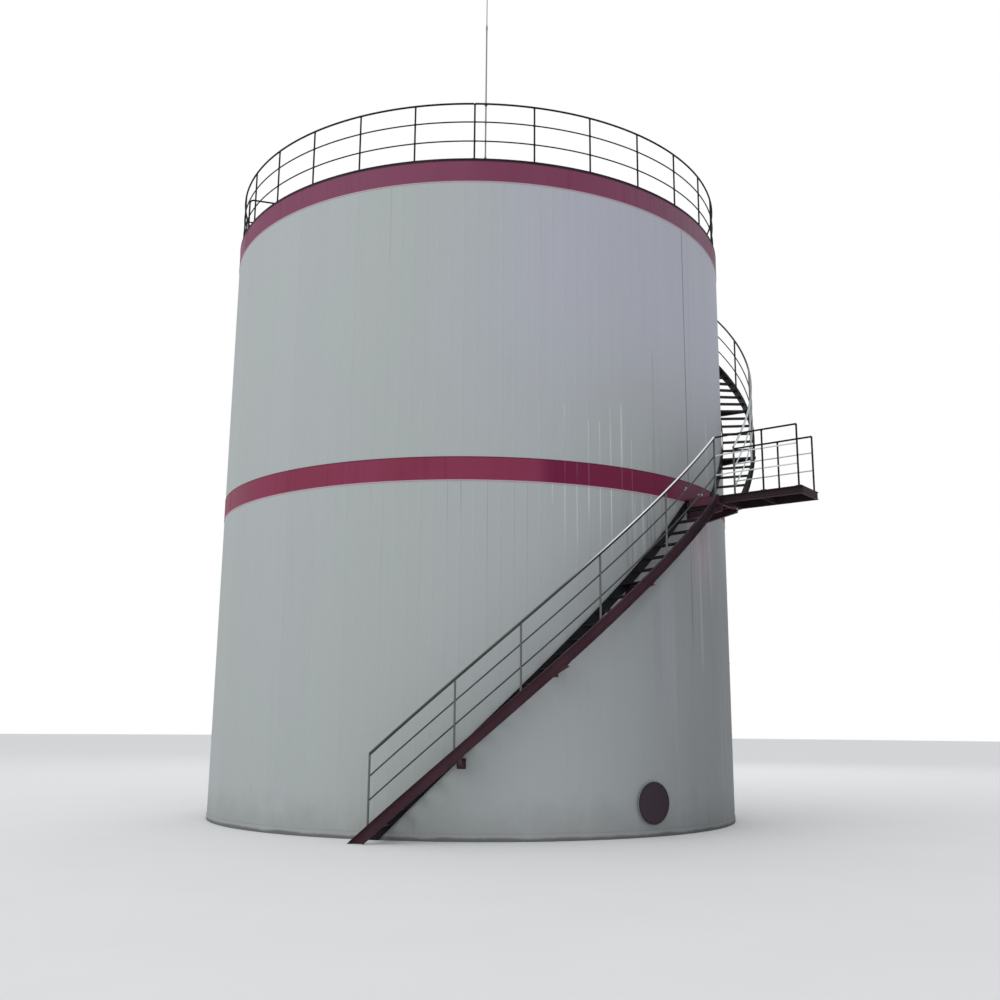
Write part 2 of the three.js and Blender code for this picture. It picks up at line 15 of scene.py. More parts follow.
import bmesh
import bpy
from mathutils import Matrix, Vector
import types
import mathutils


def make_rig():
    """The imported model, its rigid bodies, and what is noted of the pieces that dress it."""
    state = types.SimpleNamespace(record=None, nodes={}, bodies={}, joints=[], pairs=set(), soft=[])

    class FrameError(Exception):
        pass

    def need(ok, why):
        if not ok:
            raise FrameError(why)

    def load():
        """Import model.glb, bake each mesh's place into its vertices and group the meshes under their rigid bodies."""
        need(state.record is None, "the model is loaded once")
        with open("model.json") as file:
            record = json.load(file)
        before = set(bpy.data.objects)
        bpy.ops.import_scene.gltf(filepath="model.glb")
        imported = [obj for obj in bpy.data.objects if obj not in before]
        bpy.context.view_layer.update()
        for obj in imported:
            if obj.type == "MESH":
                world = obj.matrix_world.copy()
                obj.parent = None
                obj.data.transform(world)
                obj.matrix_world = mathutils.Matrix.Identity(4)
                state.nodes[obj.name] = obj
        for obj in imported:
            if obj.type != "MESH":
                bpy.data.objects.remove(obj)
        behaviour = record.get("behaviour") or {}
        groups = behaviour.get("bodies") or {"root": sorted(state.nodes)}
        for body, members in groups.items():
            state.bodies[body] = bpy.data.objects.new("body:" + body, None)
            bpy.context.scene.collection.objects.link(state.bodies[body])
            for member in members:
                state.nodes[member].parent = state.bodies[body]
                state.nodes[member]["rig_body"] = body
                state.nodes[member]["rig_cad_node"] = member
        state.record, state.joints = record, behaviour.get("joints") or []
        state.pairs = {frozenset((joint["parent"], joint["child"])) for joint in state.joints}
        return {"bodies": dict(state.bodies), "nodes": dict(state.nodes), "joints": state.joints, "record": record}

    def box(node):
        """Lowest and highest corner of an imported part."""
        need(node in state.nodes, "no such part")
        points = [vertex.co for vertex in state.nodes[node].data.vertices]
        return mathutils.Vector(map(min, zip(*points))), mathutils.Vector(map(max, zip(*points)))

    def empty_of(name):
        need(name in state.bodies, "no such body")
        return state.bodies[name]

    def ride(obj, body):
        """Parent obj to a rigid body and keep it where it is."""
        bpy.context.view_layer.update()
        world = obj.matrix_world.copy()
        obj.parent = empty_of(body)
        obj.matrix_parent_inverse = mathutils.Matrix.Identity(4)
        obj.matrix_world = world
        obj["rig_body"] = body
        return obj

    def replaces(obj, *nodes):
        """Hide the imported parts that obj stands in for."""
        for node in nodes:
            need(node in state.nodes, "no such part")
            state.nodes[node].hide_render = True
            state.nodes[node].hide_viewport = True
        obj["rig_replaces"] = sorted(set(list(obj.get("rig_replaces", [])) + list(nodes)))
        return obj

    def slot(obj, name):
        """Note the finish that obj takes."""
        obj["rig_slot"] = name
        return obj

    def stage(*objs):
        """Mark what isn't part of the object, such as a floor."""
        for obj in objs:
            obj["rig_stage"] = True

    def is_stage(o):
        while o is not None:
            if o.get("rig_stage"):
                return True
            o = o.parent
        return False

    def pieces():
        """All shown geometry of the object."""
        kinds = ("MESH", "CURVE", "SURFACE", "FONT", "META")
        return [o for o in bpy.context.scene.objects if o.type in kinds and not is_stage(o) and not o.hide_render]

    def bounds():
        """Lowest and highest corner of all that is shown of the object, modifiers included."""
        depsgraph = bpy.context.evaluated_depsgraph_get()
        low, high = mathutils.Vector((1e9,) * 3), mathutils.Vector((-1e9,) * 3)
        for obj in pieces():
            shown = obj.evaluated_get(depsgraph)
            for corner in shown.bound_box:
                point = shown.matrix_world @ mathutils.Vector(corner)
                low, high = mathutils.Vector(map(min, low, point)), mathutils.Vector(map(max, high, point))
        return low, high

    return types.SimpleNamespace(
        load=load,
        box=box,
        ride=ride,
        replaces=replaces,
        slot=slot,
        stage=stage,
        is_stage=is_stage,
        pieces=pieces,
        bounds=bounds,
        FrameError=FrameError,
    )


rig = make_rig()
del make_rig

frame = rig.load()
cad_low, cad_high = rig.bounds()
print("nodes:", len(frame["nodes"]), "box:", [round(v, 3) for v in (*cad_low, *cad_high)])

# %% [markdown]
# ## The camera
#
# The photograph was taken standing, about 22 m from the tank's axis and tilted up at the rim. A camera
# could be aimed with a Track To constraint, but its small roll would be lost. So its three axes are
# worked out from yaw, pitch and roll, and put into its matrix as columns.

# %% Camera at the photograph's viewing angle
EYE = (0.0, -21.872, 1.711)
YAW, PITCH, ROLL = 0.022494, 0.205106, 0.007732
SENSOR = 36.0
LENS = 38.964

level_forward = Vector((sin(YAW), cos(YAW), 0))
level_right = Vector((cos(YAW), -sin(YAW), 0))
forward = level_forward * cos(PITCH) + Vector((0, 0, sin(PITCH)))
level_up = Vector((0, 0, cos(PITCH))) - level_forward * sin(PITCH)
right = level_right * cos(ROLL) + level_up * sin(ROLL)
upward = level_up * cos(ROLL) - level_right * sin(ROLL)

camera = bpy.data.objects.new("camera", bpy.data.cameras.new("camera"))
bpy.context.scene.collection.objects.link(camera)
axes = Matrix((right, upward, -forward)).transposed()
camera.matrix_world = Matrix.Translation(EYE) @ axes.to_4x4()
camera.data.lens = LENS
camera.data.sensor_width = SENSOR
camera.data.clip_end = 500
bpy.context.scene.camera = camera
print("camera looks up by", round(degrees(PITCH), 2), "degrees")

# %% [markdown]
# ## Directions round the tank
#
# Everything here is placed by three numbers: an azimuth in degrees, a radius and a height. Azimuth 0
# faces the camera and 90 is the side of the bridge, so the stair climbs as the azimuth grows. With
# these few functions no piece needs a turned object or a parent to be put in place.

# %% Places and directions
def at(az, radius, z=0.0):
    return Vector((radius * sin(radians(az)), -radius * cos(radians(az)), z))


def outward(az):
    return at(az, 1)


def along(az):
    return Vector((cos(radians(az)), sin(radians(az)), 0))


def arc(length, radius):
    """The angle, in degrees, that a length takes up on a circle."""
    return degrees(length / radius)


def stations(start, end, step):
    """Evenly spaced azimuths from start to end, no further apart than step."""
    count = max(1, round(abs(end - start) / step))
    return [start + (end - start) * i / count for i in range(count + 1)]


def turns(count):
    """The angles, in radians, of evenly spaced steps round a circle."""
    return [2 * pi * k / count for k in range(count)]


UP = Vector((0, 0, 1))
print("a metre on the wall is", round(arc(1, 5), 2), "degrees")

# %% [markdown]
# ## One way to make every shape
#
# Nearly every part of a tank is a section carried along a path: sheet, channel, pipe, plate. In Blender
# that can be a curve with a bevel object, a Screw modifier, or an extrusion by hand. Here a Shape
# gathers skins, and each skin is made of rings of points joined by quads, with both ends closed. It
# gives clean quads and closed bodies, and the same code makes a rail, a tread or a bolt.

# %% A gatherer of closed skins
SMOOTH_BELOW = radians(32)


class Shape:
    """The skins of one piece. Every skin is closed, so the piece can be exported as a solid."""

    def __init__(self):
        self.points = []
        self.faces = []

    def skin(self, rings, endless=False):
        """Joins rings of points by quads, and closes both ends unless the last ring meets the first."""
        start, size, count = len(self.points), len(rings[0]), len(rings)
        for ring in rings:
            self.points.extend(ring)
        for i in range(count if endless else count - 1):
            here, there = start + i * size, start + (i + 1) % count * size
            for k in range(size):
                after = (k + 1) % size
                self.faces.append((here + k, here + after, there + after, there + k))
        if not endless:
            self.faces.append(tuple(start + k for k in reversed(range(size))))
            self.faces.append(tuple(start + (count - 1) * size + k for k in range(size)))

    def sweep(self, section, azimuths, lift=lambda az: 0.0, endless=False):
        """Carries a section of (radius, height) points round the tank."""
        self.skin([[at(az, r, z + lift(az)) for r, z in section] for az in azimuths], endless)

    def lathe(self, foot, direction, profile, sides=12):
        """A round solid on an axis, from a profile of (radius, distance along the axis)."""
        direction = direction.normalized()
        side = direction.orthogonal().normalized()
        other = direction.cross(side)
        circle = [side * cos(turn) + other * sin(turn) for turn in turns(sides)]
        self.skin([[foot + direction * d + spoke * r for spoke in circle] for r, d in profile])

    def pipe(self, path, radius, sides=12):
        """A round bar along a list of points."""
        side, rings = None, []
        for i, point in enumerate(path):
            tangent = (path[min(i + 1, len(path) - 1)] - path[max(i - 1, 0)]).normalized()
            if side is None:
                side = tangent.orthogonal()
            side = (side - tangent * side.dot(tangent)).normalized()
            other = tangent.cross(side)
            rings.append([point + (side * cos(t) + other * sin(t)) * radius for t in turns(sides)])
        self.skin(rings)

    def block(self, origin, x_axis, y_axis, z_axis, low, high):
        """A box in a frame of its own, between two corners."""
        corners = [(low[1], low[2]), (high[1], low[2]), (high[1], high[2]), (low[1], high[2])]
        self.skin([[origin + x_axis * x + y_axis * y + z_axis * z for y, z in corners]
                   for x in (low[0], high[0])])

    def block_at(self, az, radius, z, low, high):
        """A box that stands square to the wall: low and high are out from it, round it and up."""
        self.block(at(az, radius, z), outward(az), along(az), UP, low, high)

    def slab(self, outline, origin, x_axis, y_axis, normal, thickness):
        """A flat plate with any outline, given as points in the plate's own plane."""
        face = [origin + x_axis * x + y_axis * y for x, y in outline]
        self.skin([face, [point + normal * thickness for point in face]])

    def bolt(self, foot, direction, across=0.024, sides=6):
        """A washer and a hexagon head, standing on a surface."""
        r = across / 2
        self.lathe(foot, direction, [(r * 1.25, 0), (r * 1.25, r * 0.2)], 12)
        self.lathe(foot, direction, [(r, r * 0.2), (r, r * 0.85), (r * 0.82, r)], sides)


print("a Shape can make:", [name for name in dir(Shape) if not name.startswith("_")])

# %% [markdown]
# A finished shape becomes an object through bmesh, which turns all faces outwards and can slice off
# what lies below a level. Edges sharper than about 30 degrees stay crisp, and the rest is shaded
# smooth, so pipes look round and plates keep their corners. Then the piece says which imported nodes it
# stands for, which body carries it and which named finish it takes.

# %% From a shape to a piece
made = []


def cut_below(build, z):
    """Slices a mesh at a level, throws away what is under it and closes the cut."""
    everything = build.verts[:] + build.edges[:] + build.faces[:]
    result = bmesh.ops.bisect_plane(build, geom=everything, plane_co=(0, 0, z), plane_no=(0, 0, 1),
                                    clear_inner=True, dist=1e-6)
    rim = [e for e in result["geom_cut"] if isinstance(e, bmesh.types.BMEdge)]
    bmesh.ops.holes_fill(build, edges=rim)


def mesh_of(name, shape):
    mesh = bpy.data.meshes.new(name)
    mesh.from_pydata([tuple(p) for p in shape.points], [], shape.faces)
    return mesh


def make_piece(name, shape, material, slot, nodes=(), floor_level=None, bevel=0.0):
    """Makes the object and hands it over: what it rides on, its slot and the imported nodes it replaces."""
    mesh = mesh_of(name, shape)
    build = bmesh.new()
    build.from_mesh(mesh)
    if floor_level is not None:
        cut_below(build, floor_level)
    bmesh.ops.recalc_face_normals(build, faces=build.faces[:])
    build.to_mesh(mesh)
    build.free()
    mesh.shade_smooth()
    mesh.set_sharp_from_angle(angle=SMOOTH_BELOW)
    mesh.materials.append(material)
    piece = bpy.data.objects.new(name, mesh)
    bpy.context.scene.collection.objects.link(piece)
    if bevel:
        soften = piece.modifiers.new("soft_edges", "BEVEL")
        soften.width = bevel
        soften.segments = 2
        soften.limit_method = "ANGLE"
        soften.angle_limit = radians(50)
    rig.ride(piece, "root")
    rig.slot(piece, slot)
    if nodes:
        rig.replaces(piece, *nodes)
    made.append(piece)
    print(name, "faces:", len(mesh.polygons))


# %% [markdown]
# ## Writing shader nodes
#
# A material is a small program drawn as nodes. Written node by node, even a short formula gets long and
# hard to check. So a number inside a node tree is wrapped in a Value here, and arithmetic with Values adds
# Math nodes: azimuth * 2 + 1 reads as it would on paper, and makes two nodes.

# %% Values inside a node tree
class Value:
    """A socket in a node tree. Arithmetic with it adds Math nodes to that tree."""

    def __init__(self, tree, socket):
        self.tree = tree
        self.socket = socket

    def __add__(self, other):
        return calc("ADD", self, other)

    def __radd__(self, other):
        return calc("ADD", other, self)

    def __sub__(self, other):
        return calc("SUBTRACT", self, other)

    def __rsub__(self, other):
        return calc("SUBTRACT", other, self)

    def __mul__(self, other):
        return calc("MULTIPLY", self, other)

    def __truediv__(self, other):
        return calc("DIVIDE", self, other)

    def __rtruediv__(self, other):
        return calc("DIVIDE", other, self)

    def __mod__(self, other):
        return calc("MODULO", self, other)

    def __lt__(self, other):
        return calc("LESS_THAN", self, other)

    def __gt__(self, other):
        return calc("GREATER_THAN", self, other)

    def __abs__(self):
        return calc("ABSOLUTE", self)

    def __round__(self):
        return calc("ROUND", self)


class Outputs:
    """The outputs of a node, each as a Value, by name or by number."""

    def __init__(self, tree, node):
        self.tree = tree
        self.node = node

    def __getitem__(self, key):
        return Value(self.tree, self.node.outputs[key])


def tree_of(values):
    """The node tree that these values belong to."""
    return next(value.tree for value in values if isinstance(value, Value))


def join(value, socket):
    value.tree.links.new(value.socket, socket)


def put(tree, kind, sockets=None, **settings):
    """Adds a node, sets it up, fills its inputs and hands back its outputs."""
    node = tree.nodes.new(kind)
    for name, value in settings.items():
        setattr(node, name, value)
    for name, value in (sockets or {}).items():
        if isinstance(value, Value):
            join(value, node.inputs[name])
        else:
            node.inputs[name].default_value = value
    return Outputs(tree, node)


def calc(operation, *values, clamp=False):
    sockets = dict(enumerate(values))
    return put(tree_of(values), "ShaderNodeMath", sockets, operation=operation, use_clamp=clamp)[0]


print("arithmetic with Values is ready")

# %% [markdown]
# A few helpers do the rest of what the finishes need: fading between two values, mixing colours in
# layers, noise, a random number for each whole number, and how far a surface faces up.

# %% Fades, colours and noise
def fade(value, start, end, low=0.0, high=1.0):
    """Runs smoothly from low to high while the value goes from start to end."""
    sockets = {"Value": value, "From Min": start, "From Max": end, "To Min": low, "To Max": high}
    return put(value.tree, "ShaderNodeMapRange", sockets, interpolation_type="SMOOTHSTEP")[0]


def rgb(red, green, blue):
    return (red, green, blue, 1.0)


def mix_colors(mask, first, second, blend="MIX"):
    sockets = {0: mask, 6: first, 7: second}
    return put(tree_of(sockets.values()), "ShaderNodeMix", sockets, data_type="RGBA", blend_type=blend)[2]


def layered(color, *layers):
    """Lays paint and dirt over a colour. Each (mask, colour) lies on top of the one before."""
    for mask, tint in layers:
        color = mix_colors(mask, color, tint)
    return color


def shaded(color, amount):
    """The same colour, darker or lighter by an amount."""
    grey = put(color.tree, "ShaderNodeCombineColor", {0: amount, 1: amount, 2: amount})[0]
    return mix_colors(1.0, color, grey, "MULTIPLY")


def noise(vector, scale, detail=2.0, roughness=0.5):
    sockets = {"Vector": vector, "Scale": scale, "Detail": detail, "Roughness": roughness}
    return put(vector.tree, "ShaderNodeTexNoise", sockets)["Fac"]


def stretched(vector, upright):
    """Squeezes a position from top to bottom, so that noise made from it is drawn out upwards."""
    return put(vector.tree, "ShaderNodeVectorMath", {0: vector, 1: (1, 1, upright)}, operation="MULTIPLY")[0]


def random_of(number):
    """The same random draw each time for the same number."""
    return put(number.tree, "ShaderNodeTexWhiteNoise", {"W": number}, noise_dimensions="1D")


def facing_up(tree):
    """How far a surface faces up: 1 on a floor, 0 on a wall."""
    normal = put(tree, "ShaderNodeNewGeometry")["Normal"]
    return put(tree, "ShaderNodeSeparateXYZ", {0: normal})["Z"]


print("shader helpers ready")

# %% [markdown]
# An effect that several finishes share is a node group: built once, with named sockets, and placed in
# each material with its own values. Changing the group then changes all of them together, which copies
# of the nodes wouldn't do. The groups only put out masks and values, and the shaders stay outside.

# %% A builder for node groups
def new_group(name, outputs, **inputs):
    """An empty group that puts out numbers. An input given as None is a position, the others are numbers."""
    tree = bpy.data.node_groups.new(name, "ShaderNodeTree")
    for label, value in inputs.items():
        kind = "NodeSocketVector" if value is None else "NodeSocketFloat"
        socket = tree.interface.new_socket(label, in_out="INPUT", socket_type=kind)
        if value is not None:
            socket.default_value = value
    for label in outputs:
        tree.interface.new_socket(label, in_out="OUTPUT", socket_type="NodeSocketFloat")
    given = Outputs(tree, tree.nodes.new("NodeGroupInput"))
    return tree, given, tree.nodes.new("NodeGroupOutput").inputs


def use_group(group, **sockets):
    """Places a group in the material that its values come from."""
    return put(tree_of(sockets.values()), "ShaderNodeGroup", sockets, node_tree=group)


# %% [markdown]
# The first group tells a material where it is on the tank: azimuth in degrees, height and radius. It
# reads the object's own coordinates, so marks stay where they are when the camera moves.

# %% Group: where on the tank
tank_place, given, result = new_group("tank_place", ["Azimuth", "Height", "Radius"], Position=None)
xyz = put(tank_place, "ShaderNodeSeparateXYZ", {0: given["Position"]})
join(calc("ARCTAN2", xyz["X"], xyz["Y"] * -1.0) * degrees(1), result["Azimuth"])
join(xyz["Z"], result["Height"])
join(calc("SQRT", xyz["X"] * xyz["X"] + xyz["Y"] * xyz["Y"]), result["Radius"])
print(tank_place.name, "puts out", [s.name for s in result if s.name])

# %% [markdown]
# Rain leaves two marks on a painted tank: cloudy patches where the film dries unevenly, and upright
# streaks. Both are noise. The streaks are the same noise, drawn out upwards, and they are made from the
# position itself, so there is no seam at the back of the tank.

# %% Groups: cloudy patches and rain streaks
cloudy_patches, given, result = new_group("cloudy_patches", ["Mask"], Position=None, Size=3.0)
cloud_noise = noise(stretched(given["Position"], 0.55), 1.0 / given["Size"], 3.0, 0.55)
join(fade(cloud_noise, 0.34, 0.66), result["Mask"])

rain_streaks, given, result = new_group("rain_streaks", ["Mask"], Position=None, Fineness=8.0)
drawn_out = noise(stretched(given["Position"], 0.035), given["Fineness"], 3.0, 0.7)
broken = noise(stretched(given["Position"], 0.2), 1.1)
join(fade(drawn_out, 0.48, 0.72) * fade(broken, 0.36, 0.62), result["Mask"])
print("groups:", [g.name for g in bpy.data.node_groups])

# %% [markdown]
# Drips are different: each one hangs from an edge, such as a band's lower hem, and runs down a rib of
# the sheet for a length of its own. So this group counts ribs. It rounds the azimuth to the nearest rib,
# draws three random numbers for that rib, and uses them for whether there is a drip, how far it runs and
# how strong it is.

# %% Group: drips on the ribs below an edge
drips_below, given, result = new_group(
    "drips_below", ["Mask"], Azimuth=0.0, Height=0.0, Edge=5.0, Reach=1.5, Pitch=2.4, Start=0.0,
    Share=0.5, Width=0.1, Seed=0.0)
from_start = (given["Azimuth"] - given["Start"]) / given["Pitch"]
rib = round(from_start)
draws = put(drips_below, "ShaderNodeSeparateColor", {0: random_of(rib + given["Seed"])["Color"]})
there = draws["Red"] < given["Share"]
reach = given["Reach"] * (0.25 + draws["Green"])
fallen = (given["Edge"] - given["Height"]) / reach
fading = fade(fallen, 1.0, 0.1) * (fallen > 0.0)
thin = fade(abs(from_start - rib), given["Width"], given["Width"] * 0.3)
strength = 0.35 + draws["Blue"] * 0.65
join((there * thin) * (fading * strength), result["Mask"])
print(drips_below.name, "has", len(drips_below.nodes), "nodes")

# %% [markdown]
# Three small groups serve the steelwork: dust that settles on what faces up, chips where paint has come
# off and rust shows, and the slight unevenness of brushed or dipped metal, as a height for bump.

# %% Groups: settled dust, rust chips and uneven coat
settled_dust, given, result = new_group("settled_dust", ["Mask"], Position=None)
grit = noise(given["Position"], 7.0, 4.0, 0.6)
join(fade(facing_up(settled_dust), 0.3, 0.95) * fade(grit, 0.3, 0.7), result["Mask"])

rust_chips, given, result = new_group("rust_chips", ["Mask"], Position=None, Scale=14.0, Amount=0.1)
flake = noise(given["Position"], given["Scale"], 6.0, 0.65)
area = noise(given["Position"], 1.3)
edge = 0.74 - given["Amount"]
join(fade(flake + (area - 0.5) * 0.35, edge, edge + 0.05), result["Mask"])

uneven_coat, given, result = new_group("uneven_coat", ["Height"], Position=None, Grain=60.0)
fine = noise(given["Position"], given["Grain"], 3.0, 0.6)
coarse = noise(given["Position"], given["Grain"] * 0.12)
join(fine * 0.35 + coarse, result["Height"])
print("groups:", [g.name for g in bpy.data.node_groups])

# %% [markdown]
# Walking surfaces are rolled with raised lozenges, in rows that lean one way and the other. Modelled one
# by one they would be many thousands of faces for something a few millimetres high, so they are a
# height for bump: two sets of stretched cells, each shown in every other square.

# %% Group: lozenges of tread plate
tread_lozenges, given, result = new_group("tread_lozenges", ["Height"], Across=0.0, Along=0.0, Pitch=0.03)
u = given["Across"] / given["Pitch"]
v = given["Along"] / given["Pitch"]
lean_u, lean_v = u + v, u - v
square = abs(calc("FLOOR", lean_u) + calc("FLOOR", lean_v))
in_u, in_v = abs(calc("FRACT", lean_u) - 0.5), abs(calc("FRACT", lean_v) - 0.5)


def leaning(long_way, short_way):
    """A lozenge in its square: long one way and narrow the other, with a soft edge."""
    return fade(long_way * 1.1 + short_way * 3.2, 0.5, 0.3)


by_turns = {0: square % 2.0 > 0.5, 2: leaning(in_u, in_v), 3: leaning(in_v, in_u)}
join(put(tread_lozenges, "ShaderNodeMix", by_turns, data_type="FLOAT")[0], result["Height"])
print("group sockets of", tread_lozenges.name, [i.name for i in tread_lozenges.interface.items_tree])

# %% [markdown]
# ## The finishes
#
# Every finish starts the same way: one Principled shader whose constant values are set on the shader
# itself, and a position to read. What differs is the colour, built up in layers as paint and dirt are.

# %% A new material with its shader
def new_material(name, metallic=0.0, specular=0.5):
    """Returns the material, its Principled shader and the position to read."""
    material = bpy.data.materials.new(name)
    material.use_nodes = True
    shader = material.node_tree.nodes["Principled BSDF"]
    shader.inputs["Metallic"].default_value = metallic
    shader.inputs["Specular IOR Level"].default_value = specular
    return material, shader, put(material.node_tree, "ShaderNodeTexCoord")["Object"]


def wire(shader, color, roughness, height=None, strength=0.1, distance=0.002):
    """Joins colour and roughness to the shader, and a height by way of a Bump node."""
    join(color, shader.inputs["Base Color"])
    join(roughness, shader.inputs["Roughness"])
    if height is not None:
        bump = {"Height": height, "Strength": strength, "Distance": distance}
        join(put(height.tree, "ShaderNodeBump", bump)[0], shader.inputs["Normal"])


print("materials so far:", len(bpy.data.materials))

# %% [markdown]
# ### Grey cladding
#
# The tank wears painted sheet with low ribs every 214 mm, lapped every third rib. The paint is a pale
# grey that leans to green on the left and low down, and to lilac high up on the right. Pale drips run down
# the ribs round the middle band, thickest a little right of centre. A few single lines stand out, such as
# the open, dark lap above the landing, and no rule gives their places, so they are listed. Washes of
# mauve and brown run down under the landing, and the foot has splashes. Painted shade darkens the wall
# behind the stair's treads, and the lower wall a little all round and much more on the right side. Each
# layer of the right side fades out again at the back, because the azimuth jumps there and would leave a seam.

# %% Ribs, laps and levels of the tank
RADIUS = 5.0
WALL_IN = 4.94
RIB_COUNT = 147
RIB_PITCH = 360 / RIB_COUNT
RIB_START = 48.5
LAP_PITCH = 3 * RIB_PITCH
MID_BAND = (5.534, 5.932)
TOP_BAND = (10.726, 11.117)
LANDING_Z = 5.6
CLIMB, LOWER_START, STAIR_DEPTH = 0.0849, 1.602, 0.215
print("rib spacing:", round(radians(RIB_PITCH) * RADIUS, 4), "m")

# %% Colours and single marks of the cladding
BACK_FADE = (172.0, 112.0)
GREEN_GREY, LILAC_GREY = rgb(0.406, 0.440, 0.430), rgb(0.452, 0.460, 0.532)
FAINT_STREAK, LILAC_RUN = rgb(0.33, 0.34, 0.355), rgb(0.52, 0.52, 0.60)
GREY_WASH, TREAD_SHADE = rgb(0.24, 0.225, 0.235), rgb(0.15, 0.13, 0.15)
PALE_DRIP, DARK_LAP = rgb(0.72, 0.75, 0.75), rgb(0.13, 0.135, 0.145)
MAUVE_WASH, BROWN_WASH = rgb(0.60, 0.53, 0.59), rgb(0.20, 0.165, 0.155)
SPLASHED, FOOT_GRIME = rgb(0.17, 0.165, 0.155), rgb(0.07, 0.07, 0.07)

# Each mark has an azimuth, half a width, a lowest and a highest level, and a strength.
OPEN_LAPS = [(48.4, 0.24, 5.5, 10.9, 0.62), (37.4, 0.20, 5.9, 8.2, 0.24), (-17.6, 0.20, 9.4, 10.9, 0.14),
             (48.6, 0.34, 3.2, 5.6, 0.42), (53.4, 0.40, 4.5, 5.6, 0.50), (55.9, 0.50, 4.2, 5.6, 0.45),
             (30.0, 0.28, 4.0, 5.2, 0.30), (31.2, 0.24, 4.1, 5.2, 0.30), (35.1, 0.32, 4.2, 5.3, 0.36),
             (36.0, 0.28, 4.3, 5.3, 0.36), (37.1, 0.28, 4.4, 5.3, 0.34)]
BRIGHT_RUNS = [(29.0, 0.30, 5.8, 7.1, 0.46), (26.4, 0.26, 5.8, 7.0, 0.15), (57.4, 0.40, 5.8, 7.3, 0.40),
               (52.3, 0.70, 2.8, 4.9, 0.38), (57.7, 0.70, 3.9, 5.4, 0.25),
               (31.9, 0.30, 4.3, 5.5, 0.30), (34.1, 0.34, 4.4, 5.5, 0.40)]


def near_azimuth(azimuth, middle, half):
    """1 round an azimuth, fading to 0 at half degrees to each side."""
    return fade(abs(azimuth - middle), half, half * 0.25)


def right_side(azimuth, start, end):
    """Grows from 0 to 1 between two azimuths, and fades out again at the back, so that no seam shows."""
    return fade(azimuth, start, end) * fade(azimuth, *BACK_FADE)


def upright_marks(azimuth, height, marks):
    """The strongest of a few upright lines, each fading out at its two ends."""
    strongest = 0.0
    for middle, half, low, high, strength in marks:
        ends = fade(height, low - 0.5, low + 0.5) * fade(height, high + 0.1, high - 0.3)
        strongest = calc("MAXIMUM", strongest, near_azimuth(azimuth, middle, half) * (ends * strength))
    return strongest


def drips(azimuth, height, edge, reach, share, width, seed=0.0, start=RIB_START, pitch=RIB_PITCH):
    """Drips below an edge, in step with the ribs unless a start and a pitch are given."""
    return use_group(drips_below, Azimuth=azimuth, Height=height, Edge=edge, Reach=reach, Pitch=pitch,
                     Start=start, Share=share, Width=width, Seed=seed)["Mask"]


print("single marks on the wall:", len(OPEN_LAPS) + len(BRIGHT_RUNS))

